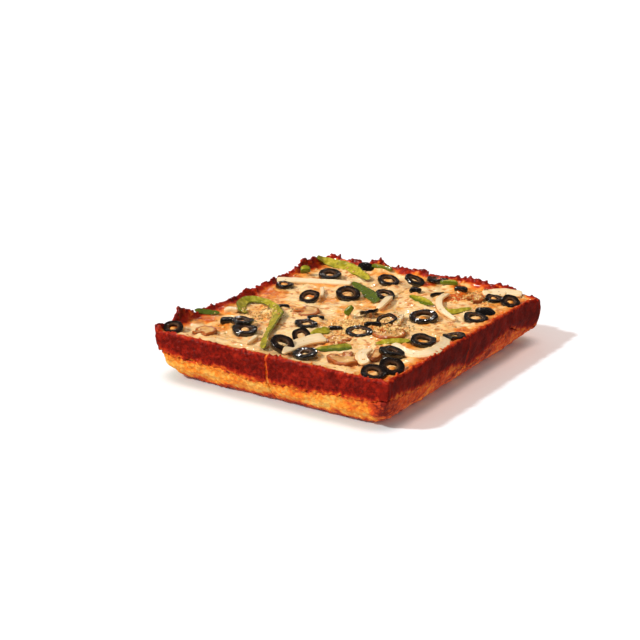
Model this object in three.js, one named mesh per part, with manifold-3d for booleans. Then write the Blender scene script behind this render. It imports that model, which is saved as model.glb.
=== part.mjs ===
// A small rectangular deep-pan pizza in the Detroit manner, cut into its four corner slices, which
// still lie together. The cheese has baked onto the wall of the pan and stands up as a dark, ragged rim.
// Black olives, green pepper, onion and mushroom lie on the cheese.
//
// Millimetres, +Z up. The origin is on the flat underside, below the middle of the pizza. X runs along
// the short side and Y along the long side.
import * as THREE from "three";
import { mergeVertices } from "three/addons/utils/BufferGeometryUtils.js";
import Module from "manifold-3d";

// ---- Driving sizes -------------------------------------------------------------------------------

const PAN_WIDTH = 168; // across the rim, along X
const PAN_LENGTH = 200; // across the rim, along Y
const RIM_HEIGHT = 32; // the usual height of the rim
const WALL_FLARE = 12; // how far the foot stands inside the rim on each side
const WALL_BULGE = 3.1; // 1 would make the wall straight, more makes it swell outward
const FOOT_ROUND = 1.2; // the underside's rounded edge
const CORNER_RADIUS = 2.4; // down the baked-on cheese
const FOOT_CORNER_RADIUS = 11;

const DOUGH_HEIGHT = 23; // top of the dough, under the cheese
const CHEESE_HEIGHT = 29.4; // top of the cheese in the middle
const SKIRT_HEIGHT = 16.5; // where the baked-on cheese ends on the outside wall
const SKIRT_THICKNESS = 2.4;
const RIM_THICKNESS = 1.7;
const CUT_WIDTH = 0.6; // the knife's cut between two slices
const GAP = 0.3; // air between two pieces that touch

const CORNER_STEPS = 4;
const LONG_SIDE_STEPS = 27;
const SHORT_SIDE_STEPS = 23;

const SINK = 0.9; // how deep a topping lies in the cheese
const NEAR_RIM = 9; // the cheese climbs to the rim over this distance
const TRIM = 0.15; // facets finer than this are merged after a cut

// Places where the rim has crept up the pan and stands higher than elsewhere.
const HORNS = [
  { x: -84, y: -95, rise: 5.6, spread: 4 },
  { x: -84, y: -73, rise: 9, spread: 6 },
  { x: -84, y: 66, rise: 7, spread: 5 },
  { x: -84, y: 79, rise: 5, spread: 6 },
  { x: -60, y: 100, rise: 2.6, spread: 5 },
  { x: -40, y: 100, rise: 5, spread: 5 },
  { x: -22, y: 100, rise: 1.8, spread: 6 },
  { x: 8, y: 100, rise: 1.6, spread: 5 },
  { x: 28, y: 100, rise: 4.2, spread: 4 },
  { x: 50, y: 100, rise: 1.6, spread: 6 },
];
// Places where the baked-on cheese has run further down the wall, or less far.
const RUNS = [
  { x: -80, y: -100, drop: -2.5, spread: 26 },
  { x: 3, y: -100, drop: 3, spread: 20 },
  { x: 84, y: -90, drop: -3, spread: 22 },
  { x: 84, y: 6, drop: 8.5, spread: 16 },
  { x: 84, y: 58, drop: -3, spread: 9 },
  { x: 84, y: 94, drop: 6.5, spread: 18 },
];
const LOW_CORNER = { x: 84, y: 100, drop: 2.6, spread: 16 }; // where the rim has sunk

// ---- Toppings ------------------------------------------------------------------------------------
// x and y are where a piece lies. radius, hole and thick are an olive ring's own sizes, tilt is how far
// it leans, lean is the compass direction that its upper face tips to (0 is +X, 90 is +Y, in degrees),
// and lift raises it onto a piece below. Pieces further down a list lie over the ones before them.

const OLIVES = [
  { x: -75, y: -91, radius: 6.4, hole: 2.6, thick: 3.6, tilt: 16, lean: -57 },
  { x: -37, y: -68, radius: 8, hole: 3.4, thick: 4.2, tilt: 3, lean: 30 },
  { x: -45, y: -59, radius: 6.9, hole: 2.8, thick: 2.6, tilt: 7, lean: 110, lift: 3.2 },
  { x: -70, y: 24, radius: 6.2, hole: 3.4, thick: 3.6, tilt: 6, lean: 110 },
  { x: -40, y: 9, radius: 6.6, hole: 3.4, thick: 3.6, tilt: 18, lean: -80 },
  { x: -22, y: 28, radius: 8.2, hole: 4.1, thick: 4.2, tilt: 13, lean: -40 },
  { x: -56, y: 59, radius: 7.8, hole: 3.2, thick: 4, tilt: 8, lean: -57 },
  { x: -47, y: 93, radius: 6.8, hole: 0, thick: 4.6, tilt: 8, lean: -30 },
  { x: -16, y: 71, radius: 7.7, hole: 3.9, thick: 3.4, tilt: 11, lean: 0 },
  { x: -3, y: 44, radius: 6.9, hole: 3.2, thick: 2.8, tilt: 9, lean: 10 },
  { x: -13, y: -36, radius: 7.3, hole: 3.1, thick: 2.4, tilt: 4, lean: 50 },
  { x: 0, y: -61, radius: 5.8, hole: 2.4, thick: 2.6, tilt: 30, lean: -60 },
  { x: 1, y: -83, radius: 7.3, hole: 3, thick: 5, tilt: 24, lean: -10 },
  { x: 18, y: -84, radius: 7.6, hole: 2.7, thick: 3.2, tilt: 7, lean: 200 },
  { x: 22, y: -30, radius: 8.4, hole: 4.8, thick: 2.6, tilt: 2, lean: 30 },
  { x: 9, y: 4, radius: 6, hole: 2.4, thick: 3, tilt: 26, lean: 145 },
  { x: 26, y: -3, radius: 6.6, hole: 4.4, thick: 2.6, tilt: 13, lean: -110 },
  { x: 43, y: 14, radius: 9, hole: 4.9, thick: 4, tilt: 5, lean: -90 },
  { x: 64, y: -24, radius: 8.1, hole: 4, thick: 3.4, tilt: 5, lean: 10 },
  { x: 76, y: -7, radius: 7.2, hole: 3, thick: 2.6, tilt: 10, lean: 130 },
  { x: 70, y: 33, radius: 7.9, hole: 4, thick: 3, tilt: 3, lean: 10 },
  { x: 69, y: 49, radius: 6.9, hole: 0, thick: 3.8, tilt: 7, lean: 20 },
  { x: 61, y: 77, radius: 6.4, hole: 2.6, thick: 2.8, tilt: 4, lean: 30 },
  { x: 75, y: 73, radius: 6.6, hole: 2.4, thick: 3.2, tilt: 14, lean: -40 },
  { x: -1, y: 80, radius: 7.2, hole: 2.8, thick: 3, tilt: 20, lean: 20 },
  { x: 9, y: 94, radius: 7.4, hole: 2.8, thick: 3, tilt: 9, lean: 110 },
  { x: 60, y: -55, radius: 7.6, hole: 2.2, thick: 3.8, tilt: 12, lean: 60 },
  { x: 74, y: -79, radius: 7.8, hole: 3.3, thick: 4.4, tilt: 16, lean: -30 },
  { x: 69, y: -91, radius: 7.7, hole: 3.4, thick: 3.4, tilt: 10, lean: -30 },
];

// A strip follows its points across the pizza. wide and thick are its section.
const PEPPERS = [
  {
    wide: 4.6,
    thick: 5,
    points: [
      [-59, -39], [-70, -26], [-72, -15], [-62, -12], [-50, -18],
      [-40, -29], [-30, -46], [-19, -70], [-7, -91],
    ],
  },
  { wide: 4, thick: 4.4, points: [[-82, -56], [-76, -51], [-67, -46]] },
  { wide: 5.6, thick: 5, points: [[-81, 81], [-78, 87], [-67, 86], [-54, 82], [-41, 75], [-29, 67]] },
  { wide: 5.6, thick: 3.4, points: [[-36, 55], [-18, 44], [1, 27]] },
  { wide: 4, thick: 3.4, points: [[0, -53], [2, -45], [6, -38]] },
  { wide: 4.4, thick: 4, points: [[18, -73], [25, -66], [33, -56]] },
  { wide: 3.6, thick: 2.6, points: [[42, -43], [48, -35], [57, -28]] },
  { wide: 4.2, thick: 3.4, points: [[11, 52], [22, 47], [35, 42]] },
  { wide: 3.6, thick: 3.2, points: [[42, 39], [51, 35], [59, 49]] },
];

const ONIONS = [
  { wide: 5.2, thick: 2.2, points: [[-80, 29], [-59, 43], [-35, 53]] },
  { wide: 6.5, thick: 2, points: [[10, -94], [5, -80], [4, -66], [9, -55]], lift: 1.6 },
  { wide: 6, thick: 2.2, points: [[45, -58], [48, -70], [57, -80]], lift: 1.2 },
  {
    wide: 5.4,
    thick: 2,
    points: [[52, -39], [63, -47], [73, -49], [79, -43], [79, -32], [77, -20], [72, -12]],
  },
  { wide: 4, thick: 2, points: [[31, 66], [34, 51], [45, 34], [62, 20]], lift: 1.4 },
  { wide: 4.4, thick: 2.2, points: [[3, 40], [10, 14]], lift: 1.2 },
  { wide: 3.6, thick: 2, points: [[28, 12], [36, -8]], lift: 0.6 },
  { wide: 9, thick: 1.8, points: [[50, 82], [60, 90], [73, 95]], lift: 1 },
];

// A mushroom slice is a cap over a stem. turn is the compass direction that the cap points to.
const MUSHROOMS = [
  { x: -58, y: -83, cap: 16, height: 9, stem: 5, thick: 3, turn: 60 },
  { x: -29, y: -13, cap: 20, height: 10, stem: 6, thick: 2.4, turn: 20 },
  { x: 41, y: -74, cap: 25, height: 12, stem: 6, thick: 3.2, turn: -60 },
  { x: 20, y: -50, cap: 17, height: 9, stem: 5, thick: 2.6, turn: 150 },
  { x: 39, y: -22, cap: 22, height: 11, stem: 6, thick: 3, turn: -35 },
  { x: 50, y: 70, cap: 18, height: 7, stem: 4, thick: 3, turn: 30 },
];

// Scraps too small to stand alone, which have baked into the cheese. Each is a lump with a length, a
// width and a height, and turn is the compass direction of its length.
const SCRAPS = [
  { x: -56, y: -59, long: 11, wide: 6, high: 3, turn: 33 },
  { x: -15, y: -22, long: 11, wide: 9, high: 1.6, turn: 30 },
  { x: -47, y: -13, long: 10, wide: 3.4, high: 1.6, turn: 35 },
  { x: 6, y: -32, long: 9, wide: 5, high: 1.6, turn: 35 },
  { x: 23, y: -15, long: 11, wide: 4, high: 2.2, turn: 30 },
  { x: 10, y: 62, long: 8, wide: 8, high: 2.6, turn: 20 },
  { x: 26, y: 64, long: 11, wide: 3, high: 2, turn: 50 },
  { x: 35, y: 80, long: 9, wide: 7, high: 3, turn: 0 },
  { x: -73, y: 54, long: 7, wide: 5, high: 5, turn: 33 },
  { x: 0, y: -6, long: 7, wide: 4, high: 5, turn: 33 },
  { x: 21, y: 89, long: 12, wide: 6, high: 3, turn: 20 },
  { x: -35, y: 94, long: 17, wide: 4, high: 3.4, turn: -5 },
  { x: -41, y: 25, long: 22, wide: 3, high: 1.8, turn: -57 },
  { x: -68, y: -40, long: 9, wide: 7, high: 2.6, turn: 33 },
  { x: -24, y: -79, long: 18, wide: 3, high: 1.8, turn: -75 },
  { x: 53, y: -62, long: 18, wide: 6, high: 2.4, turn: -70 },
];

// ---- Colours -------------------------------------------------------------------------------------

const COLOURS = {
  dough: { color: 0xd98a33, roughness: 0.75 },
  cheese: { color: 0xe9c88f, roughness: 0.45 },
  olive: { color: 0x17130f, roughness: 0.25 },
  pepper: { color: 0x7f9a26, roughness: 0.35 },
  onion: { color: 0xeadbbd, roughness: 0.4 },
  mushroom: { color: 0xb98350, roughness: 0.5 },
};

const radians = THREE.MathUtils.degToRad;
const wasm = await Module();
wasm.setup();

// ---- Small helpers -------------------------------------------------------------------------------

/** A fixed pseudo-random number from 0 to 1 for a point of a whole-number lattice. */
function lattice(i, j, k) {
  const s = Math.sin(i * 127.1 + j * 311.7 + k * 74.7) * 43758.5453;
  return s - Math.floor(s);
}

/** Smooth noise from -1 to 1 whose bumps are about `scale` millimetres across. */
function noise(x, y, z, scale) {
  const cell = [x, y, z].map((v) => Math.floor(v / scale));
  const part = [x, y, z].map((v, n) => THREE.MathUtils.smoothstep(v / scale - cell[n], 0, 1));
  let sum = 0;
  for (let corner = 0; corner < 8; corner++) {
    const step = [corner & 1, (corner >> 1) & 1, corner >> 2];
    const weight = step.reduce((w, s, n) => w * (s ? part[n] : 1 - part[n]), 1);
    sum += weight * lattice(cell[0] + step[0], cell[1] + step[1], cell[2] + step[2]);
  }
  return 2 * sum - 1;
}

/** A closed geometry as a solid that can be cut, in the geometry's own frame or moved by a matrix. */
function solidOf(geometry, matrix = new THREE.Matrix4()) {
  const bare = geometry.clone().applyMatrix4(matrix);
  bare.deleteAttribute("normal");
  bare.deleteAttribute("uv");
  const merged = mergeVertices(bare, 1e-3);
  return new wasm.Manifold(
    new wasm.Mesh({
      numProp: 3,
      vertProperties: merged.attributes.position.array,
      triVerts: new Uint32Array(merged.index.array),
    }),
  );
}

/** A solid's largest body as a geometry, without the loose scraps that a cut can leave. */
function geometryOf(solid) {
  const bodies = solid.simplify(TRIM).decompose().sort((a, b) => b.volume() - a.volume());
  const mesh = bodies[0].getMesh();
  const geometry = new THREE.BufferGeometry();
  geometry.setAttribute("position", new THREE.BufferAttribute(mesh.vertProperties, 3));
  geometry.setIndex(new THREE.BufferAttribute(mesh.triVerts, 1));
  geometry.computeVertexNormals();
  return geometry;
}

/** A named mesh in one of the part's colours. */
function meshOf(name, geometry, finish) {
  const material = new THREE.MeshStandardMaterial({ metalness: 0, ...COLOURS[finish] });
  const mesh = new THREE.Mesh(geometry, material);
  mesh.name = name;
  return mesh;
}

// ---- The form of the pizza -----------------------------------------------------------------------

/** How far the outside wall stands inside the rim's edge at a height: it flares and swells. */
function wallInset(z) {
  return WALL_FLARE * (1 - z / RIM_HEIGHT) ** WALL_BULGE;
}

/** Points round a rounded rectangle that lies `inset` inside the rim's edge, counterclockwise. */
function outline(inset, radius) {
  const centreX = PAN_WIDTH / 2 - inset - radius;
  const centreY = PAN_LENGTH / 2 - inset - radius;
  const signs = [[1, -1], [1, 1], [-1, 1], [-1, -1]];
  const arcs = signs.map(([sx, sy], quarter) =>
    Array.from({ length: CORNER_STEPS + 1 }, (_, k) => {
      const angle = (quarter - 1 + k / CORNER_STEPS) * (Math.PI / 2);
      return new THREE.Vector2(
        sx * centreX + radius * Math.cos(angle),
        sy * centreY + radius * Math.sin(angle),
      );
    }),
  );
  return arcs.flatMap((arc, quarter) => {
    const next = arcs[(quarter + 1) % 4][0];
    const steps = quarter % 2 ? SHORT_SIDE_STEPS : LONG_SIDE_STEPS;
    const side = Array.from({ length: steps - 1 }, (_, k) => arc.at(-1).clone().lerp(next, (k + 1) / steps));
    return [...arc, ...side];
  });
}

/**
 * A solid swept round the pan's outline. Each point of the profile has an inset from the rim's edge, a
 * corner radius and a height. The inset and the height are numbers or functions of x and y, and an inset
 * of null is the axis.
 */
function sweptRound(profile) {
  const rings = profile.map(({ radius }) => radius && [outline(0, radius), outline(1, radius)]);
  const stations = rings.find(Boolean)[0].length;
  const lathe = new THREE.LatheGeometry(
    profile.map((p) => new THREE.Vector2(p.inset === null ? 0 : 1, 0)),
    stations,
  );
  const valueAt = (value, at) => (typeof value === "function" ? value(at.x, at.y) : value);
  const place = lathe.getAttribute("position");
  for (let i = 0; i < place.count; i++) {
    const { inset, radius, z, crag = 0 } = profile[i % profile.length];
    const at = new THREE.Vector2();
    if (radius) {
      const station = Math.floor(i / profile.length) % stations;
      const [edge, inward] = rings[i % profile.length].map((ring) => ring[station]);
      at.lerpVectors(edge, inward, valueAt(inset, edge));
    }
    const height = valueAt(z, at);
    at.multiplyScalar(1 + (crag * noise(at.x, at.y, height, 5)) / PAN_WIDTH);
    place.setXYZ(i, at.x, at.y, height);
  }
  return solidOf(lathe);
}

/** How strongly a spot is felt at a point: 1 at its middle, fading over its spread. */
function nearness(spot, x, y) {
  return Math.exp(-((x - spot.x) ** 2 + (y - spot.y) ** 2) / spot.spread ** 2);
}

/** Where the baked-on cheese ends on the outside wall. */
function skirtLine(x, y) {
  const run = RUNS.reduce((sum, spot) => sum + spot.drop * nearness(spot, x, y), 0);
  return SKIRT_HEIGHT - run + 1.2 * noise(x, y, 0, 14);
}

/** The ragged top of the rim. It is rougher along the two sides at the back. */
function rimHeight(x, y) {
  const back = THREE.MathUtils.smoothstep(y, 60, 96) + THREE.MathUtils.smoothstep(-x, 60, 80);
  const horns = HORNS.map((horn) => horn.rise * nearness(horn, x, y));
  const sunk = LOW_CORNER.drop * nearness(LOW_CORNER, x, y);
  return RIM_HEIGHT + (0.5 + 0.7 * back) * noise(x, y, 3, 5) + Math.max(...horns) - sunk;
}

/** The top of the cheese: a gently rolling field that climbs to the rim. */
function cheeseHeight(x, y) {
  const toEdge = Math.min(PAN_WIDTH / 2 - Math.abs(x), PAN_LENGTH / 2 - Math.abs(y));
  const climb = Math.max(0, 1 - toEdge / NEAR_RIM) ** 2;
  const rolling = 0.6 * noise(x, y, 0, 24) + 0.3 * noise(x, y, 9, 9);
  const sunk = 0.6 * LOW_CORNER.drop * nearness(LOW_CORNER, x, y);
  return CHEESE_HEIGHT + rolling - sunk + climb * (RIM_HEIGHT - CHEESE_HEIGHT - 0.4);
}

/** The dough before the baked-on cheese is taken out of it. It shows on the lower half of the wall. */
function doughBlank() {
  const half = (x, y) => skirtLine(x, y) / 2;
  return sweptRound([
    { inset: null, z: 0 },
    { inset: WALL_FLARE + FOOT_ROUND, radius: FOOT_CORNER_RADIUS, z: 0 },
    { inset: wallInset(FOOT_ROUND), radius: FOOT_CORNER_RADIUS, z: FOOT_ROUND, crag: 0.4 },
    { inset: (x, y) => wallInset(half(x, y)), radius: 6, z: half, crag: 1 },
    { inset: (x, y) => wallInset(skirtLine(x, y)) + 0.3, radius: 3.4, z: skirtLine },
    { inset: wallInset(DOUGH_HEIGHT) + 1, radius: 4, z: DOUGH_HEIGHT },
    { inset: null, z: DOUGH_HEIGHT },
  ]);
}

/**
 * The cheese round the edge: a skirt down the outside wall, the rim, and the slope inside it. With air
 * it is the room that the dough leaves for it, which is open to the outside.
 */
function cheeseRim(air = 0) {
  const outside = air ? 4 : 0;
  const skirtInset = (deeper) => (x, y) => wallInset(skirtLine(x, y)) + deeper;
  const lowest = (x, y) => skirtLine(x, y) - air;
  const under = DOUGH_HEIGHT + GAP - air;
  const innerFoot = { inset: 17, radius: 6, z: under };
  return sweptRound([
    innerFoot,
    { inset: wallInset(SKIRT_HEIGHT) + SKIRT_THICKNESS + 2 + air, radius: 7, z: under },
    { inset: skirtInset(SKIRT_THICKNESS + air), radius: 7, z: lowest },
    { inset: skirtInset(-outside), radius: 3.2, z: lowest },
    { inset: wallInset(23) - outside, radius: CORNER_RADIUS, z: 23, crag: 1.1 },
    { inset: 0.2 - outside, radius: CORNER_RADIUS, z: (x, y) => rimHeight(x, y) - 1.2, crag: 0.8 },
    { inset: RIM_THICKNESS, radius: CORNER_RADIUS, z: rimHeight },
    { inset: 4.6, radius: 6, z: (x, y) => cheeseHeight(x, y) + 0.3 },
    { inset: 17, radius: 6, z: (x, y) => cheeseHeight(x, y) - 0.3 },
    innerFoot,
  ]);
}

/** The cheese inside the rim, whose border dips under the rim's inner slope. */
function cheeseField() {
  const inset = 5;
  const slab = new THREE.BoxGeometry(PAN_WIDTH - 2 * inset, PAN_LENGTH - 2 * inset, 1, 12, 14, 1);
  const place = slab.getAttribute("position");
  for (let i = 0; i < place.count; i++) {
    const [x, y] = [place.getX(i), place.getY(i)];
    const border = Math.abs(x) > PAN_WIDTH / 2 - inset - 1 || Math.abs(y) > PAN_LENGTH / 2 - inset - 1;
    const top = cheeseHeight(x, y) - (border ? 3 : 0);
    place.setZ(i, place.getZ(i) > 0 ? top : DOUGH_HEIGHT + GAP);
  }
  return solidOf(slab);
}

/** The scraps as lumps that stand out of the cheese. */
function scraps() {
  const lumps = SCRAPS.map(({ x, y, long, wide, high, turn }) => {
    const lump = new THREE.IcosahedronGeometry(1, 0).scale(long / 2, wide / 2, high);
    return solidOf(lump.rotateZ(radians(turn)).translate(x, y, cheeseHeight(x, y)));
  });
  return wasm.Manifold.union(lumps);
}

// ---- Toppings as shapes --------------------------------------------------------------------------

/** An olive cut across: a ring with a rounded skin, or the solid end of the olive if it has no hole. */
function oliveShape({ radius, hole, thick }, grow) {
  const half = thick / 2 + grow;
  const outer = radius + grow;
  const shoulder = outer - 0.16 * thick;
  const inner = hole - grow;
  const ring = [[inner, -half], [shoulder, -half], [outer, 0.1 * half], [shoulder, half], [inner, half]];
  const end = [[0, -half], [shoulder, -half], [outer, -0.2 * half], [0.72 * outer, 0.75 * half], [0, half]];
  const profile = hole ? [...ring, ring[0]] : end;
  const lathe = new THREE.LatheGeometry(profile.map(([r, z]) => new THREE.Vector2(r, z)), 10);
  return lathe.rotateX(Math.PI / 2);
}

/** A strip with a rounded section that follows a path, given in the strip's own frame. */
function stripShape({ wide, thick, path }, grow) {
  const side = wide / 2 + grow;
  const half = thick / 2 + grow;
  const section = new THREE.Shape(
    [[-0.55, -1], [0.55, -1], [1, 0], [0.55, 1], [-0.55, 1], [-1, 0]].map(
      ([across, up]) => new THREE.Vector2(up * half, across * side),
    ),
  );
  const steps = Math.max(3, Math.round(path.getLength() / 8));
  return new THREE.ExtrudeGeometry(section, { steps, extrudePath: path, curveSegments: 1 });
}

/** A slice through a mushroom: a domed cap with curled-in gills over a short stem. */
function mushroomShape({ cap, height, stem, thick }, grow) {
  const side = cap / 2 + grow;
  const foot = stem / 2 + grow;
  const outlineShape = new THREE.Shape();
  outlineShape.moveTo(-foot, -0.75 * height - grow);
  outlineShape.lineTo(foot, -0.75 * height - grow);
  outlineShape.lineTo(foot * 0.8, -0.08 * height);
  outlineShape.quadraticCurveTo(0.62 * side, -0.5 * height, side, -0.16 * height);
  outlineShape.bezierCurveTo(1.05 * side, 0.5 * height, 0.5 * side, height + grow, 0, height + grow);
  outlineShape.bezierCurveTo(-0.5 * side, height + grow, -1.05 * side, 0.5 * height, -side, -0.16 * height);
  outlineShape.quadraticCurveTo(-0.62 * side, -0.5 * height, -foot * 0.8, -0.08 * height);
  const bevel = 0.25 * thick;
  const slice = new THREE.ExtrudeGeometry(outlineShape, {
    depth: thick + 2 * grow - 2 * bevel,
    bevelThickness: bevel,
    bevelSize: 0.4,
    bevelOffset: -0.4,
    bevelSegments: 1,
    curveSegments: 3,
  });
  return slice.translate(0, 0, bevel - thick / 2 - grow).rotateZ(-Math.PI / 2);
}

// ---- Placing toppings ----------------------------------------------------------------------------

/** A bare mesh for a topping, and the solid of the same shape with air round it. */
function topping(name, finish, shape, settings, place) {
  const mesh = meshOf(name, shape(settings, 0), finish);
  place(mesh);
  mesh.updateMatrix();
  return {
    mesh,
    solid: solidOf(mesh.geometry, mesh.matrix),
    clearance: solidOf(shape(settings, GAP), mesh.matrix),
  };
}

/** Lays a flat, round piece on the cheese so that its low side is sunk in, leaning as it says. */
function layRound(mesh, { x, y, tilt = 0, lean = 0, lift = 0, thick }, radius) {
  const rise = radius * Math.sin(radians(tilt)) + (thick / 2) * Math.cos(radians(tilt));
  mesh.position.set(x, y, cheeseHeight(x, y) + rise - SINK + lift);
  const axis = new THREE.Vector3(-Math.sin(radians(lean)), Math.cos(radians(lean)), 0);
  mesh.quaternion.setFromAxisAngle(axis, radians(tilt));
}

function oliveTopping(settings, name) {
  return topping(name, "olive", oliveShape, settings, (mesh) => layRound(mesh, settings, settings.radius));
}

function mushroomTopping(settings, name) {
  return topping(name, "mushroom", mushroomShape, settings, (mesh) => {
    layRound(mesh, settings, 0);
    mesh.rotateZ(radians(settings.turn));
  });
}

/** A strip whose path runs over the cheese through its points. */
function stripTopping(settings, name, finish) {
  const { points, thick, lift = 0 } = settings;
  const over = points.map(
    ([x, y]) => new THREE.Vector3(x, y, cheeseHeight(x, y) + thick / 2 - SINK + lift),
  );
  const middle = over[Math.floor(over.length / 2)].clone();
  const path = new THREE.CatmullRomCurve3(over.map((p) => p.sub(middle)));
  return topping(name, finish, stripShape, { ...settings, path }, (mesh) => mesh.position.copy(middle));
}

/** Cuts from each piece what lies in the cheese or under a piece above it, and groups them. */
function settle(toppings, cheese, rim) {
  const besideRim = [[1, 1], [1, -1], [-1, 1], [-1, -1]].map(([x, y]) =>
    rim.translate([x * GAP, y * GAP, GAP / 2]),
  );
  const raised = wasm.Manifold.union([cheese.translate([0, 0, GAP]), ...besideRim]).simplify(TRIM);
  const group = new THREE.Group();
  toppings.forEach(({ mesh, solid }, i) => {
    const above = toppings.slice(i + 1).map((upper) => upper.clearance);
    const kept = above.reduce((left, upper) => left.subtract(upper), solid.subtract(raised));
    mesh.geometry = geometryOf(kept).applyMatrix4(mesh.matrix.clone().invert());
    group.add(mesh);
  });
  return group;
}

// ---- Assembly ------------------------------------------------------------------------------------

/** The four corner slices: one solid of dough and one of cheese for each. */
function slices(dough, cheese) {
  const group = new THREE.Group();
  const corners = { front_left: [-1, -1], front_right: [1, -1], back_right: [1, 1], back_left: [-1, 1] };
  const block = [PAN_WIDTH, PAN_LENGTH, 100];
  Object.entries(corners).forEach(([corner, [sx, sy]]) => {
    const shift = new THREE.Matrix4().makeTranslation(
      (sx * (block[0] + CUT_WIDTH)) / 2,
      (sy * (block[1] + CUT_WIDTH)) / 2,
      0,
    );
    const quarter = solidOf(new THREE.BoxGeometry(...block), shift);
    group.add(meshOf(`dough_${corner}`, geometryOf(dough.intersect(quarter)), "dough"));
    group.add(meshOf(`cheese_${corner}`, geometryOf(cheese.intersect(quarter)), "cheese"));
  });
  return group;
}

const numbered = (kind) => (settings, i) => [settings, `${kind}_${String(i + 1).padStart(2, "0")}`];

const dough = doughBlank().subtract(cheeseRim(2 * GAP));
const rim = cheeseRim();
const cheese = rim.add(cheeseField()).add(scraps());
const toppings = [
  ...MUSHROOMS.map(numbered("mushroom")).map(([s, name]) => mushroomTopping(s, name)),
  ...PEPPERS.map(numbered("pepper")).map(([s, name]) => stripTopping(s, name, "pepper")),
  ...OLIVES.map(numbered("olive")).map(([s, name]) => oliveTopping(s, name)),
  ...ONIONS.map(numbered("onion")).map(([s, name]) => stripTopping(s, name, "onion")),
];

const pizza = new THREE.Group();
pizza.add(slices(dough, cheese), settle(toppings, cheese, rim));

export default pizza;
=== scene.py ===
"""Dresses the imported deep-pan pizza: crust, baked cheese and toppings, then floor, light and camera.

Sizes are in millimetres until a mesh is finished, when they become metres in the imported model's frame.
"""

import logging
import math
import random
from dataclasses import dataclass, field
from enum import Enum
from typing import Any, Callable, Iterable, Iterator, Optional, Sequence, Union

import bmesh
import bpy
from mathutils import Matrix, Vector, noise
from mathutils.bvhtree import BVHTree
from mathutils.kdtree import KDTree

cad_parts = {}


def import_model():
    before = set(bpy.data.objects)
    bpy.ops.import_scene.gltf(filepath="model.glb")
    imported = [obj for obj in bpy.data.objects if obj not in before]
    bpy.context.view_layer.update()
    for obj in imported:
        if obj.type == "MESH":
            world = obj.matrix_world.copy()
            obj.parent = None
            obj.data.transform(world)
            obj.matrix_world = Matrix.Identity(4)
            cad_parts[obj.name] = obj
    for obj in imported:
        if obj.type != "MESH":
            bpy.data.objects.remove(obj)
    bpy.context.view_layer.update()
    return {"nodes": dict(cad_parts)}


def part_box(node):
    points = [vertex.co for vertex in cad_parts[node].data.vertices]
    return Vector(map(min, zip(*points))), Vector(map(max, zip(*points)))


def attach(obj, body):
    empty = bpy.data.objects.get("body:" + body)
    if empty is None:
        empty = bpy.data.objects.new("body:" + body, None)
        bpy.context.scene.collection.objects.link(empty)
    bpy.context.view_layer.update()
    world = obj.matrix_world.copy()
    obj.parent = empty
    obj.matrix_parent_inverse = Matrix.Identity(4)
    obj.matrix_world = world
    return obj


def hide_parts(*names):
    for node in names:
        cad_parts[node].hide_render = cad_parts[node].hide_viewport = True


LOG = logging.getLogger("pizza")
MM = 0.001
Colour = tuple[float, float, float, float]
Octaves = tuple[tuple[float, float, float], ...]
Wall = tuple[int, int]
FRONT, RIGHT, BACK, LEFT = WALLS = ((0, -1), (1, 0), (0, 1), (-1, 0))
UP, DOWN = Vector((0, 0, 1)), Vector((0, 0, -1))


# ---- Helpers ----


def tint(red: float, green: float, blue: float) -> Colour:
    """A colour seen on screen, from 0 to 255 each, as the linear colour that a shader takes."""
    shares = (red / 255, green / 255, blue / 255)
    return *(c / 12.92 if c <= 0.04045 else ((c + 0.055) / 1.055) ** 2.4 for c in shares), 1.0


def step(value: float, low: float, high: float) -> float:
    """0 at low, 1 at high and a smooth climb between, whichever of the two is larger."""
    t = min(1.0, max(0.0, (value - low) / (high - low)))
    return t * t * (3 - 2 * t)


def lumps(point: Sequence[float], size: float, seed: float = 0.0) -> float:
    """Smooth noise from about -1 to 1 at a point, whose bumps are size mm across."""
    x, y, z = (c / size for c in point)
    return 1.6 * noise.noise(Vector((x + 7.3 * seed, y - 3.1 * seed, z)))


def relief(point: Sequence[float], octaves: Octaves) -> float:
    """Several lumps added up at a point, each given by its height, its size and its seed."""
    return sum(height * lumps(point, size, seed) for height, size, seed in octaves)


def leaning(tilt: float, lean: float) -> Matrix:
    """A turn that tips a flat piece by tilt degrees towards the compass direction lean."""
    direction = math.radians(lean)
    axis = Vector((-math.sin(direction), math.cos(direction), 0.0))
    return Matrix.Rotation(math.radians(tilt), 4, axis)


def turned(degrees: float, axis: str = "Z") -> Matrix:
    """A turn about an axis, in degrees."""
    return Matrix.Rotation(math.radians(degrees), 4, axis)


# ---- Materials ----


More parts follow.
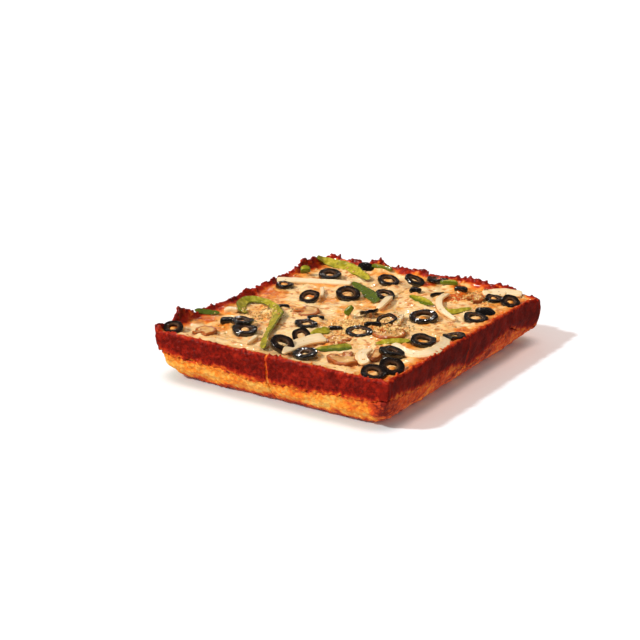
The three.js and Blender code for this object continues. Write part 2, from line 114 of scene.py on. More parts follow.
class Signal:
    """A value, colour or vector inside a material. Python's operators on values add Math nodes."""

    def __init__(self, recipe: "Recipe", socket: bpy.types.NodeSocket) -> None:
        """Wraps an output socket of the recipe's node tree."""
        self.recipe = recipe
        self.socket = socket

    def _math(self, operation: str, first: "Value", second: "Value") -> "Signal":
        """One Math node on two values."""
        return self.recipe.node("ShaderNodeMath", {"operation": operation}, {0: first, 1: second})

    def __add__(self, other: "Value") -> "Signal":
        """self + other."""
        return self._math("ADD", self, other)

    def __radd__(self, other: "Value") -> "Signal":
        """other + self."""
        return self._math("ADD", other, self)

    def __sub__(self, other: "Value") -> "Signal":
        """self - other."""
        return self._math("SUBTRACT", self, other)

    def __rsub__(self, other: "Value") -> "Signal":
        """other - self."""
        return self._math("SUBTRACT", other, self)

    def __mul__(self, other: "Value") -> "Signal":
        """self * other."""
        return self._math("MULTIPLY", self, other)

    def __rmul__(self, other: "Value") -> "Signal":
        """other * self."""
        return self._math("MULTIPLY", other, self)

    def most(self, other: "Value") -> "Signal":
        """The larger of the two."""
        return self._math("MAXIMUM", self, other)

    def step(self, low: float, high: float) -> "Signal":
        """0 at low, 1 at high and a smooth climb between."""
        inputs = {0: self, 1: low, 2: high, 3: 0.0, 4: 1.0}
        return self.recipe.node("ShaderNodeMapRange", {"interpolation_type": "SMOOTHSTEP"}, inputs)


Value = Union[float, Signal]
Paint = Union[Colour, Signal]


class Recipe:
    """The node tree of one material."""

    def __init__(self, owner: Union[str, bpy.types.World]) -> None:
        """Starts an empty material of that name, or empties a world's nodes."""
        self.material = bpy.data.materials.new(owner) if isinstance(owner, str) else owner
        self.material.use_nodes = True
        self.tree = self.material.node_tree
        self.tree.nodes.clear()

    def node(
        self,
        kind: str,
        settings: Optional[dict[str, Any]] = None,
        inputs: Optional[dict[Union[int, str], Any]] = None,
        output: Union[int, str] = 0,
    ) -> Signal:
        """Adds a node.

        Args:
            kind: The node's type name.
            settings: Its own settings, set first. "stops" holds a colour ramp's places and colours.
            inputs: The value or link of each socket that isn't left as it is.
            output: Which of its outputs to hand back.

        Returns:
            That output.
        """
        made = self.tree.nodes.new(kind)
        for key, value in (settings or {}).items():
            if key != "stops":
                setattr(made, key, value)
                continue
            elements = made.color_ramp.elements
            while len(elements) < len(value):
                elements.new(1.0)
            for element, (place, colour) in zip(elements, value):
                element.position, element.color = place, colour
        for key, value in (inputs or {}).items():
            if isinstance(value, Signal):
                self.tree.links.new(value.socket, made.inputs[key])
            else:
                made.inputs[key].default_value = value
        return Signal(self, made.outputs[output])

    def place(self) -> Signal:
        """Where a point is on the piece, in metres."""
        return self.node("ShaderNodeTexCoord", output="Object")

    def attribute(self, name: str) -> Signal:
        """A number that the mesh holds at each point."""
        return self.node("ShaderNodeAttribute", {"attribute_name": name}, output="Fac")

    def clouds(self, size: float, detail: float = 2.0) -> Signal:
        """Soft noise from 0 to 1 whose patches are about size mm across."""
        inputs = {"Vector": self.place(), "Scale": 0.5 / (size * MM), "Detail": detail}
        return self.node("ShaderNodeTexNoise", inputs=inputs)

    def pebbles(self, size: float, dimensions: str = "3D") -> Signal:
        """Distance from the nearest of many scattered points that are about size mm apart."""
        inputs = {"Vector": self.place(), "Scale": 1 / (size * MM)}
        return self.node("ShaderNodeTexVoronoi", {"voronoi_dimensions": dimensions}, inputs, "Distance")

    def blend(self, share: Value, first: Paint, second: Paint) -> Signal:
        """Mixes two colours.

        Args:
            share: 0 for the first alone, 1 for the second alone.
            first: The colour underneath.
            second: The colour laid over it.

        Returns:
            The mixed colour.
        """
        settings = {"data_type": "RGBA", "clamp_factor": True}
        return self.node("ShaderNodeMix", settings, {0: share, 6: first, 7: second}, 2)

    def ramp(self, value: Signal, stops: Sequence[tuple[float, Colour]]) -> Signal:
        """A colour for each value, read off the stops."""
        return self.node("ShaderNodeValToRGB", {"stops": stops}, {0: value})

    def bump(self, height: Signal, depth: float, strength: float = 1.0) -> Signal:
        """A normal roughened by a height from 0 to 1 that stands for depth mm."""
        inputs = {"Height": height, "Distance": depth * MM, "Strength": strength}
        return self.node("ShaderNodeBump", inputs=inputs)

    def done(self, **sockets: Any) -> bpy.types.Material:
        """Closes the recipe with its shader.

        Args:
            **sockets: The shader's sockets, with underscores for the spaces in their names.

        Returns:
            The material.
        """
        named = {key.replace("_", " "): value for key, value in sockets.items()}
        self.close(self.node("ShaderNodeBsdfPrincipled", inputs=named), "ShaderNodeOutputMaterial")
        return self.material

    def close(self, surface: Signal, kind: str) -> None:
        """Links a shader to an output node of that kind."""
        end = self.tree.nodes.new(kind)
        self.tree.links.new(surface.socket, end.inputs["Surface"])


@dataclass(frozen=True)
class CheeseFinish:
    """Melted cheese, from cream on top to the dark red-brown lace that baked onto the pan."""

    milky: Colour = tint(255, 216, 158)
    cream: Colour = tint(252, 194, 124)
    buttery: Colour = tint(248, 176, 92)
    golden: Colour = tint(240, 144, 52)
    orange: Colour = tint(216, 94, 26)
    rust: Colour = tint(180, 44, 14)
    lace: Colour = tint(150, 25, 9)
    char: Colour = tint(106, 13, 4)
    fleck: Colour = tint(208, 112, 42)

    def material(self) -> bpy.types.Material:
        """Browns by how far the mesh says each point has baked, which along the crest is partly painted
        highlight, with blisters on the pale part.
        """
        mix = Recipe("baked_cheese")
        baked = mix.attribute("baked")
        wall = mix.attribute("wall")
        fine = mix.clouds(1.1, 3.0)
        broad = mix.clouds(7.0, 3.0)
        grit = mix.attribute("grit")
        level = baked + (fine - 0.5) * (0.26 + 0.3 * wall) * grit
        level = level + ((broad - 0.5) * 0.46 + 0.05) * (1 - wall)
        pale_shades = (self.milky, self.cream, self.buttery, self.golden)
        shades = pale_shades + (self.orange, self.rust, self.lace, self.char)
        colour = mix.ramp(level, list(zip((0.0, 0.1, 0.2, 0.34, 0.52, 0.68, 0.84, 1.0), shades)))
        ragged = (mix.clouds(1.6, 2.0) - 0.5) * 0.3
        small = 1 - (mix.pebbles(5.0, "2D") + ragged).step(0.12, 0.3)
        large = 1 - (mix.pebbles(13.0, "2D") + ragged * 0.6).step(0.06, 0.2)
        blister = (small * mix.clouds(14.0, 1.0).step(0.44, 0.58)).most(large * 0.9)
        pale = 1 - baked.step(0.2, 0.5)
        colour = mix.blend(blister * pale * 0.85, colour, self.fleck)
        glint = mix.clouds(1.4, 2.0).step(0.6, 0.68)
        grain = mix.clouds(0.55, 2.0) * 0.5 + mix.clouds(1.3, 3.0) * 0.5
        return mix.done(
            Base_Color=colour,
            Roughness=0.4 + (fine - 0.5) * 0.4,
            Normal=mix.bump(grain * (0.45 + 0.75 * baked.step(0.2, 0.6)) * grit, 0.8, 0.9),
            Specular_IOR_Level=0.1,
            Coat_Weight=0.35 * (1 - wall) + glint * 0.6 * grit,
            Coat_Roughness=0.09,
            Subsurface_Weight=0.12, Subsurface_Radius=(1.0, 0.4, 0.15), Subsurface_Scale=0.0015,
        )


@dataclass(frozen=True)
class DoughFinish:
    """Grainy golden crust that was fried in the pan, toasted along its foot and below the cheese."""

    pale: Colour = tint(255, 194, 92)
    golden: Colour = tint(252, 146, 38)
    toasted: Colour = tint(226, 80, 18)
    dark: Colour = tint(138, 28, 10)

    def material(self) -> bpy.types.Material:
        """Browns by how far the mesh says each point has baked, which on the right wall is partly painted
        shade, over a fine grain.
        """
        mix = Recipe("fried_crust")
        baked = mix.attribute("baked")
        fine = mix.clouds(1.5, 3.0)
        crumb = mix.pebbles(2.4).step(0.15, 0.75)
        patches = (mix.clouds(5.0, 2.0) - 0.5) * 0.5
        level = baked + (fine - 0.5) * 0.6 + (crumb - 0.4) * 0.16 + patches + 0.04
        shades = (self.pale, self.golden, self.toasted, self.dark)
        colour = mix.ramp(level, list(zip((0.05, 0.35, 0.65, 1.0), shades)))
        grain = mix.clouds(0.6, 2.0) * 0.4 + mix.clouds(1.6, 3.0) * 0.4 + (1 - crumb) * 0.3
        return mix.done(
            Base_Color=colour,
            Roughness=0.62 + (fine - 0.5) * 0.3,
            Normal=mix.bump(grain, 1.2, 1.0),
            Specular_IOR_Level=0.2,
        )


@dataclass(frozen=True)
class OliveFinish:
    """A wet black skin round a duller dark brown cut face."""

    skin: Colour = tint(9, 5, 4)
    flesh: Colour = tint(28, 15, 11)
    heart: Colour = tint(122, 82, 52)

    def material(self) -> bpy.types.Material:
        """Tells the skin, the cut face and the pale edge of the stone's hole apart."""
        mix = Recipe("black_olive")
        mottle = mix.clouds(2.2, 3.0)
        cut = mix.blend(mottle.step(0.35, 0.75) * 0.6, self.flesh, self.skin)
        cut = mix.blend(mix.attribute("heart") * (0.15 + 0.6 * mottle), cut, self.heart)
        skin = mix.attribute("skin")
        return mix.done(
            Base_Color=mix.blend(skin, cut, self.skin),
            Roughness=0.4 - 0.12 * skin + (mottle - 0.5) * 0.3,
            Normal=mix.bump(mix.clouds(0.8, 2.0) * 0.7 + mix.clouds(2.4, 1.0) * 0.6, 0.9, 1.0),
            Specular_IOR_Level=0.15,
            Coat_Weight=0.6 + 0.4 * skin,
            Coat_Roughness=0.05,
        )


@dataclass(frozen=True)
class PepperFinish:
    """Green pepper: glossy skin on one side and wet, paler flesh on the other."""

    name: str
    skin: Colour
    flesh: Colour
    pith: Colour

    def material(self) -> bpy.types.Material:
        """Turns from flesh to skin round the strip's section."""
        mix = Recipe(self.name)
        skin = mix.attribute("skin").step(0.35, 0.7)
        mottle = mix.clouds(1.3, 3.0)
        flesh = mix.blend(mottle.step(0.36, 0.68), self.flesh, self.pith)
        colour = mix.blend(skin, flesh, self.skin)
        colour = mix.blend(mix.clouds(5.0, 3.0).step(0.45, 0.65) * 0.5, colour, self.skin)
        colour = mix.blend(mix.attribute("edge").step(0.7, 0.95) * 0.8, colour, self.skin)
        return mix.done(
            Base_Color=colour,
            Roughness=0.34 - 0.1 * skin + (mottle - 0.5) * 0.3,
            Normal=mix.bump(mix.clouds(1.6, 2.0), 0.8, 0.9),
            Specular_IOR_Level=0.3,
            Coat_Weight=0.8, Coat_Roughness=0.07,
            Subsurface_Weight=0.12, Subsurface_Radius=(0.6, 0.8, 0.15), Subsurface_Scale=0.002,
        )


@dataclass(frozen=True)
class OnionFinish:
    """Softened onion, cream-white with faint lines along its length."""

    clear: Colour = tint(250, 212, 158)
    milky: Colour = tint(255, 232, 196)
    edge: Colour = tint(232, 176, 100)

    def material(self) -> bpy.types.Material:
        """Fine lines run along the strip, and its two edges are a little browner."""
        mix = Recipe("soft_onion")
        inputs = {"W": mix.attribute("across") + 0.8 * mix.clouds(9.0, 1.0), "Scale": 3.2, "Detail": 2.0}
        lines = mix.node("ShaderNodeTexNoise", {"noise_dimensions": "1D"}, inputs)
        colour = mix.blend(lines.step(0.3, 0.7) * 0.7, self.clear, self.milky)
        colour = mix.blend(mix.attribute("edge").step(0.75, 1.0) * 0.5, colour, self.edge)
        return mix.done(
            Base_Color=colour,
            Roughness=0.34 + (lines - 0.5) * 0.2,
            Normal=mix.bump(lines, 0.25, 0.5),
            Subsurface_Weight=0.25, Subsurface_Radius=(1.0, 0.75, 0.45), Subsurface_Scale=0.002,
            Coat_Weight=0.2, Coat_Roughness=0.12,
        )


@dataclass(frozen=True)
class MushroomFinish:
    """Baked mushroom: tan flesh with a browner skin along the cap and brown gills."""

    flesh: Colour = tint(236, 186, 114)
    tan: Colour = tint(210, 144, 72)
    brown: Colour = tint(180, 92, 28)
    dark: Colour = tint(118, 54, 16)

    def material(self) -> bpy.types.Material:
        """Mottles the cut face and darkens the outline."""
        mix = Recipe("baked_mushroom")
        mottle = mix.clouds(4.0, 3.0)
        colour = mix.blend(mottle.step(0.35, 0.65), self.flesh, self.tan)
        edge = mix.attribute("edge") + (mottle - 0.5) * 0.5
        colour = mix.blend(edge.step(0.25, 0.55), colour, self.brown)
        colour = mix.blend(edge.step(0.8, 1.1), colour, self.dark)
        return mix.done(
            Base_Color=colour,
            Roughness=0.38 + (mottle - 0.5) * 0.3,
            Normal=mix.bump(mix.clouds(1.0, 3.0), 0.4, 0.7),
            Specular_IOR_Level=0.25,
            Coat_Weight=0.3, Coat_Roughness=0.1,
        )


@dataclass(frozen=True)
class CrumbFinish:
    """A dry seasoning crumb or leaf, in one of two shades."""

    name: str
    light: Colour
    dark: Colour

    def material(self) -> bpy.types.Material:
        """Varies the shade from crumb to crumb."""
        mix = Recipe(self.name)
        shade = mix.clouds(1.6, 1.0)
        colour = mix.blend(shade.step(0.35, 0.65), self.light, self.dark)
        return mix.done(Base_Color=colour, Roughness=0.6 + (shade - 0.5) * 0.2)


# ---- Meshes ----


class Slot(Enum):
    """The record's material slots."""

    DOUGH = "dough"
    CHEESE = "cheese"
    OLIVE = "olive"
    PEPPER = "pepper"
    ONION = "onion"
    MUSHROOM = "mushroom"


def to_mesh(shape: bmesh.types.BMesh, name: str, scale: float = MM) -> bpy.types.Mesh:
    """Turns a shape in millimetres into a mesh, in metres by default, and frees the shape."""
    bmesh.ops.scale(shape, vec=(scale, scale, scale), verts=shape.verts)
    mesh = bpy.data.meshes.new(name)
    shape.to_mesh(mesh)
    shape.free()
    return mesh


def shown(name: str, data: bpy.types.ID) -> bpy.types.Object:
    """A new object of the scene that carries some data."""
    made = bpy.data.objects.new(name, data)
    bpy.context.scene.collection.objects.link(made)
    return made


def settle(
    shape: bmesh.types.BMesh,
    name: str,
    material: bpy.types.Material,
    slot: Slot,
    *nodes: str,
    soft: bool = False,
) -> bpy.types.Object:
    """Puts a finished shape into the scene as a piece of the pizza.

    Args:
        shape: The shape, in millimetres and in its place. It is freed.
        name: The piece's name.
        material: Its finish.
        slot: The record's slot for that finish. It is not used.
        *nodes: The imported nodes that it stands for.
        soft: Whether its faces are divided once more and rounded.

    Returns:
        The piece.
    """
    mesh = to_mesh(shape, name)
    mesh.materials.append(material)
    mesh.polygons.foreach_set("use_smooth", [True] * len(mesh.polygons))
    piece = shown(name, mesh)
    if soft:
        smoother = piece.modifiers.new("soft", "SUBSURF")
        smoother.levels = smoother.render_levels = 1
    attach(piece, "root")
    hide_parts(*nodes)
    LOG.info("%s: %d faces", name, len(mesh.polygons))
    return piece


def merged(meshes: Iterable[bpy.types.Mesh]) -> bmesh.types.BMesh:
    """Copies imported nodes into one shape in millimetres, with their loose triangles joined up."""
    shape = bmesh.new()
    for mesh in meshes:
        shape.from_mesh(mesh)
    bmesh.ops.scale(shape, vec=(1 / MM, 1 / MM, 1 / MM), verts=shape.verts)
    bmesh.ops.remove_doubles(shape, verts=shape.verts, dist=0.01)
    return shape


def recast(shape: bmesh.types.BMesh, voxel: float) -> bmesh.types.BMesh:
    """Melts closed shapes that overlap into one even skin of small faces.

    Args:
        shape: The shapes, in millimetres. They are freed.
        voxel: The size of a face in millimetres.

    Returns:
        The skin, in millimetres.
    """
    mesh = to_mesh(shape, "recast", 1.0)
    carrier = shown("recast", mesh)
    modifier = carrier.modifiers.new("recast", "REMESH")
    modifier.mode = "VOXEL"
    modifier.voxel_size = voxel
    evaluated = carrier.evaluated_get(bpy.context.evaluated_depsgraph_get())
    skin = bmesh.new()
    skin.from_mesh(evaluated.to_mesh())
    evaluated.to_mesh_clear()
    bpy.data.objects.remove(carrier)
    bpy.data.meshes.remove(mesh)
    return skin


def layers(shape: bmesh.types.BMesh, *names: str) -> list[bmesh.types.BMLayerItem]:
    """Makes room for named numbers at each vertex, and hands the layers back in that order."""
    for name in names:
        shape.verts.layers.float.new(name)
    return [shape.verts.layers.float[name] for name in names]


def tag(shape: bmesh.types.BMesh, name: str, value: Callable[[bmesh.types.BMVert], float]) -> None:
    """Stores a number at each vertex, for a material to read."""
    (layer,) = layers(shape, name)
    for vert in shape.verts:
        vert[layer] = value(vert)


def tree_of(shape: bmesh.types.BMesh) -> BVHTree:
    """A search tree of a shape, which is freed."""
    tree = BVHTree.FromBMesh(shape)
    shape.free()
    return tree


@dataclass
class Slab:
    """The whole pizza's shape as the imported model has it, for pieces that lie on it or wrap it."""

    nodes: dict[str, bpy.types.Object]
    width: float = 168.0
    length: float = 200.0
    rim_height: float = 32.0
    flare: float = 12.0
    bulge: float = 3.1
    middle: float = 29.4
    field_most: float = 30.8
    rim_starts: float = 24.0
    rim_inset: float = 1.0
    corner_inset: float = 2.4
    skin_depth: float = 1.6
    feel_pitch: float = 2.0
    feel_rise: float = 0.4
    back_fullness: float = 2.5
    front_fullness: float = 1.3
    ground: BVHTree = field(init=False)
    toppings: BVHTree = field(init=False)

    def __post_init__(self) -> None:
        """Reads the cheese as the ground and the toppings as what stands on it."""
        self.ground = self._tree("cheese")
        self.toppings = self._tree("olive", "pepper", "onion", "mushroom")
        self.skirt = {wall: self._feel(wall) for wall in WALLS}

    def _tree(self, *kinds: str) -> BVHTree:
        """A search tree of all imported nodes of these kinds, in millimetres."""
        return tree_of(merged(o.data for n, o in self.nodes.items() if n.split("_")[0] in kinds))

    def _feel(self, wall: Wall) -> list[float]:
        """Feels up a wall for the heights at which the baked-on cheese starts."""
        inward = Vector((-wall[0], -wall[1], 0.0))
        row: list[float] = []
        for i in range(int(2 * self.half(wall) / self.feel_pitch) + 1):
            along = i * self.feel_pitch - self.half(wall)
            start = -100.0 * inward + Vector((0.0 if wall[0] else along, along if wall[0] else 0.0, 0.0))
            heights = (self.feel_rise * k for k in range(10, 70))
            found = (z for z in heights if self.depth(self._struck(start, inward, z)) < self.skin_depth)
            row.append(next(found, row[-1] if row else self.rim_height / 2))
        return row

    def _struck(self, start: Vector, inward: Vector, height: float) -> Vector:
        """Where a level line at a height meets the cheese, or the middle where it misses."""
        hit = self.ground.ray_cast(start + Vector((0, 0, height)), inward)[0]
        return hit if hit is not None else Vector((0.0, 0.0, height))

    def half(self, wall: Wall) -> float:
        """Half a wall's length."""
        return (self.length if wall[0] else self.width) / 2

    def wall(self, p: Vector) -> Wall:
        """Which wall is nearest: the way that its face looks, along X or Y."""
        if self.width / 2 - abs(p.x) < self.length / 2 - abs(p.y):
            return (1 if p.x > 0 else -1), 0
        return 0, (1 if p.y > 0 else -1)

    def inward(self, p: Vector) -> float:
        """How far a point is inside the rim's outline, seen from above."""
        return min(self.width / 2 - abs(p.x), self.length / 2 - abs(p.y))

    def depth(self, p: Vector) -> float:
        """How far a point is inside the flared wall, measured level."""
        below = max(0.0, 1 - p.z / self.rim_height)
        return self.inward(p) - self.flare * below**self.bulge

    def skirt_edge(self, p: Vector) -> float:
        """The height at which the baked-on cheese ends on the wall by a point."""
        wall = self.wall(p)
        row = self.skirt[wall]
        along = self.half(wall) + (p.y if wall[0] else p.x)
        place = min(max(along / self.feel_pitch, 0.0), len(row) - 1.001)
        share = place - int(place)
        return row[int(place)] * (1 - share) + row[int(place) + 1] * share

    def fullness(self, p: Vector) -> Vector:
        """How far the wall stands out at the back right corner, and in at the front left one."""
        out = step(self.width / 2 - p.x, 26.0, 4.0) * step(self.length / 2 - p.y, 26.0, 4.0)
        out *= self.back_fullness * step(p.z, 1.5, 7.0)
        back = step(self.width / 2 + p.x, 12.0, 2.0) * step(self.length / 2 + p.y, 12.0, 2.0)
        back *= self.front_fullness * step(p.z, 10.0, 16.0)
        return Vector((1.0, 1.0, 0.0)) * step(p.z, 28.0, 15.0) * (out + back)

    def height(self, x: float, y: float) -> Optional[float]:
        """The cheese's height under a place, or None beside the pizza."""
        hit = self.ground.ray_cast(Vector((x, y, 60.0)), DOWN)[0]
        return None if hit is None else hit.z

    def field_height(self, x: float, y: float) -> float:
        """The cheese's height under a place, with nothing found taken as the middle's height."""
        aside = 0.9
        for dx, dy in ((0, 0), (1, 0), (-1, 0), (0, 1), (0, -1), (1, 1)):
            found = self.height(x + aside * dx, y + aside * dy)
            if found is not None:
                return found
        return self.middle

    def rim_line(self, pitch: float) -> Iterator[tuple[Vector, Wall]]:
        """Walks round the top of the rim.

        Args:
            pitch: Millimetres between two places.

        Yields:
            A place on the rim's top, and the way that its wall looks.
        """
        for wall in WALLS:
            half = self.half(wall) - self.corner_inset
            for i in range(int(2 * half / pitch) + 1):
                along = -half + i * pitch
                x = wall[0] * (self.width / 2 - self.rim_inset) if wall[0] else along
                y = wall[1] * (self.length / 2 - self.rim_inset) if wall[1] else along
                z = self.height(x, y)
                if z is not None and z > self.rim_starts:
                    yield Vector((x, y, z)), wall


@dataclass
class Ring:
    """One olive's place and size, in the words of the part's source."""

    x: float
    y: float
    radius: float
    hole: float
    thick: float
    tilt: float
    lean: float


@dataclass
class Slice:
    """One corner slice: its crust and the cheese that is baked onto it."""

    corner: str
    slab: Slab
    rings: Sequence[Ring]
    fine_voxel: float = 0.75
    dough_voxel: float = 0.95
    crag_pitch: float = 1.9
    most_height: float = 41.0
    fused_above: float = 27.5
    fused_width: float = 0.75
    seam: float = 0.03
    swells: Octaves = ((0.75, 14.0, 1), (0.45, 5.0, 2), (0.2, 2.2, 3))
    torn: Octaves = ((2.4, 9.0, 4), (1.2, 2.8, 5))
    toast: Octaves = ((1.0, 17.0, 6), (0.4, 4.0, 7))
    fried: Octaves = ((1.3, 2.4, 19), (0.8, 6.0, 20))
    hanging: Octaves = ((1.2, 2.6, 31), (0.9, 7.0, 32))
    crust_swells: Octaves = ((0.4, 8.0, 11), (0.55, 3.0, 12))
    scuffs: Octaves = ((2.0, 9.0, 13), (1.0, 3.0, 14))
    seared: Octaves = ((1.2, 2.2, 15), (0.8, 6.0, 33))

    def _crags(self, shape: bmesh.types.BMesh) -> None:
        """Adds the torn lace of the rim as many small lumps along its top."""
        pick = random.Random(self.corner)
        sides = {"left": -1, "right": 1, "front": -1, "back": 1}
        across, along = (sides[word] for word in reversed(self.corner.split("_")))
        for place, wall in self.slab.rim_line(self.crag_pitch):
            if place.x * across < 1.4 or place.y * along < 1.4:
                continue
            wild = wall in (LEFT, BACK)
            bunch = lumps(place, 9.0, 21.0)
            for _ in range(3 if wild else 2):
                size = pick.uniform(0.6, 1.5) * (1.0 + 0.35 * bunch if wild else 0.78)
                tall = size * pick.uniform(0.8, 1.5)
                spot = place + Vector((pick.uniform(-1, 1), pick.uniform(-1, 1), 0.0))
                spot -= Vector((*wall, 0.0)) * pick.uniform(-0.7, 2.2)
                spot.z += pick.uniform(-1.6, 0.8) + (0.8 * bunch if wild else 0.0)
                spot.z = min(spot.z, self.most_height - tall)
                lean = Vector((pick.uniform(-1, 1), pick.uniform(-1, 1), 0.1))
                turn = Matrix.Rotation(pick.uniform(-0.7, 0.7), 4, lean)
                lump = Matrix.Translation(spot) @ turn @ Matrix.Diagonal((size, size, tall, 1.0))
                bmesh.ops.create_icosphere(shape, subdivisions=1, radius=1.0, matrix=lump)
            if wall == BACK and bunch > 0.1 and pick.random() < 0.5:
                tall = pick.uniform(1.4, 3.0)
                rise = min(0.3 + tall / 2, self.most_height - place.z - tall / 2)
                foot = place + Vector((pick.uniform(-1, 1), pick.uniform(-1, 1), rise))
                turn = Matrix.Rotation(pick.uniform(-0.7, 0.7), 4, Vector((pick.uniform(-1, 1), 1, 0)))
                bmesh.ops.create_cone(
                    shape, cap_ends=True, segments=6, radius1=1.2, radius2=0.8, depth=tall,
                    matrix=Matrix.Translation(foot) @ turn,
                )

    def _swell(self, p: Vector) -> float:
        """How far the melted cheese stands above the plain slab at a place on its top."""
        toppings, hug = self.slab.toppings, 3.0
        if toppings.ray_cast(p - 2 * UP, UP, 9.0)[0] is not None:
            return -0.4
        rise = relief(p, self.swells)
        near = toppings.find_nearest(p, hug)
        if near[0] is not None:
            rise += 0.7 * (1 - near[3] / hug) ** 1.5
        for ring in self.rings:
            away = math.hypot(p.x - ring.x, p.y - ring.y)
            if ring.hole and away < ring.hole:
                rise += 0.62 * ring.thick * step(away, ring.hole, 0.5 * ring.hole)
        return rise

    def _browning_and_painted_light(self, p: Vector, wall: float) -> float:
        """How brown the cheese is at a point, from 0 for cream to 1 for char, with a painted highlight along
        the crest folded in.
        """
        slab = self.slab
        side = slab.wall(p)
        reach, most, fall = BROWNING[side]
        top = most * max(0.0, 1 - (slab.inward(p) + relief(p, self.torn)) / reach) ** fall
        crest = step(p.z, slab.field_most, slab.field_most + 2.0) * step(slab.inward(p), 6.0, 2.5)
        top = max(top, (most - 0.06) * crest)
        top = max(top, 0.27 * step(relief(p, self.toast), 0.15, 1.0))
        for x, y, spread, level in SCORCHED:
            away = math.hypot(p.x - x, p.y - y) / spread + 0.35 * lumps(p, 4.0, 17.0)
            top = max(top, level * step(away, 1.1, 0.4))
        above = p.z - slab.skirt_edge(p) + relief(p, self.fried)
        fade = 3.0 + 3.0 * step(p.x, -50, -80)
        down = 0.95 - 0.46 * step(above, fade, -1.2) + 0.07 * lumps(p, 6.0, 8.0)
        down -= (0.1 if side[0] else 0.4) * step(abs(p.y if side[0] else p.x - 0.6), 1.5, 0.5)
        # The top of each wall is paler, partly real and partly a painted highlight on the lit crest.
        down -= (0.3 if side[0] else 0.2) * step(p.z + 0.8 * lumps(p, 2.2, 29.0), 30.4, 31.6)
        return top + (down - top) * wall

    def cheese(self, material: bpy.types.Material) -> bpy.types.Object:
        """Builds the cheese: the field on top, the rim and the skirt down the wall."""
        slab = self.slab
        name = "cheese_" + self.corner
        shape = merged([slab.nodes[name].data])
        self._crags(shape)
        shape = recast(shape, self.fine_voxel)
        shape.normal_update()
        moves: list[tuple[bmesh.types.BMVert, Vector]] = []
        walls: dict[int, float] = {}
        for vert in shape.verts:
            p, n = vert.co, vert.normal
            depth = slab.depth(p)
            side = slab.wall(p)
            facing = n.x * side[0] + n.y * side[1]
            wall = step(facing, 0.1, 0.5) * step(depth, 2.6, 1.6) * step(p.z, 5.0, 6.0)
            walls[vert.index] = wall
            rough = 0.5 * lumps(p, 2.0, 9.0) * (0.3 if side[0] else 1.0) + 0.3 * lumps(p, 6.0, 10.0)
            move = n * (wall * rough)
            hem = step(p.z - slab.skirt_edge(p), 2.2, 0.4) * step(depth, 3.2, 2.4)
            move += DOWN * hem * (0.8 + relief(p, self.hanging))
            corner = step(slab.width / 2 - p.x, 4.0, 1.0) * step(slab.length / 2 - abs(p.y), 4.0, 1.0)
            move += Vector((0.8, math.copysign(0.8, p.y), 0.0)) * corner + slab.fullness(p)
            top = step(n.z, 0.2, 0.7) * step(slab.inward(p), 1.5, 6.0)
            if top > 0 and p.z > slab.rim_starts:
                ground = p.z
                if min(abs(p.x), abs(p.y)) < 1.6 or slab.inward(p) > 9:
                    ground = min(slab.field_height(p.x, p.y), slab.field_most)
                move += UP * top * (ground - p.z + self._swell(Vector((p.x, p.y, slab.middle))))
            if n.z < 0.2 and wall < 0.1 and hem * corner == 0:
                move = slab.fullness(p)
            moves.append((vert, move))
        for vert, move in moves:
            vert.co += move
            vert.co.z = min(vert.co.z, self.most_height)
            for axis in (0, 1):
                if vert.co.z > self.fused_above and abs(vert.co[axis]) < self.fused_width:
                    vert.co[axis] = math.copysign(self.seam, vert.co[axis])
        tag(shape, "wall", lambda v: walls[v.index])
        tag(shape, "grit", lambda v: 1 - 0.65 * step(v.co.x, slab.width / 2 - 9, slab.width / 2 - 3))
        tag(shape, "baked", lambda v: self._browning_and_painted_light(v.co, walls[v.index]))
        return settle(shape, name + "_skin", material, Slot.CHEESE, name)

    def dough(self, material: bpy.types.Material) -> bpy.types.Object:
        """Builds the crust: one block of dough whose wall is grainy and toasted along the foot."""
        slab = self.slab
        name = "dough_" + self.corner
        shape = recast(merged([slab.nodes[name].data]), self.dough_voxel)
        shape.normal_update()
        moves = []
        for vert in shape.verts:
            p, n = vert.co, vert.normal
            facing = step(n.xy.dot(p.xy.normalized()), 0.05, 0.3) * step(slab.depth(p), 4.0, 2.0)
            swell = relief(p, self.crust_swells) + 0.5 * step(slab.skirt_edge(p) - p.z, 3.0, 0.0)
            moves.append((vert, n * (facing * swell) + slab.fullness(p)))
        for vert, move in moves:
            vert.co += move
            vert.co.z = max(vert.co.z, 0.0)

        def baked(vert: bmesh.types.BMVert) -> float:
            """Toasted under the cheese, along the foot and in patches, browner on the right wall, which
            stands in shade, partly as painted shade, and a little browner along the right of the front wall.
            """
            p = vert.co
            foot = 0.85 * step(p.z + relief(p, self.scuffs), 7.5, -0.5)
            under = 0.95 * step(slab.skirt_edge(p) - p.z + relief(p, self.seared), 3.4, -1.0)
            cut = 0.2 * step(min(abs(p.x), abs(p.y)), 1.2, 0.3)
            # The right wall stands out of the lamp; its extra browning is partly real toasting and partly
            # painted shade.
            side = 0.48 * step(p.x, 66, 78) + 0.12 * step(p.y, -80, -98) * step(p.x, 20, 70)
            return max(foot, under, 0.18 + side + 0.18 * lumps(p, 12.0, 16.0) - cut, 0.0)

        tag(shape, "baked", baked)
        return settle(shape, name + "_skin", material, Slot.DOUGH, name)


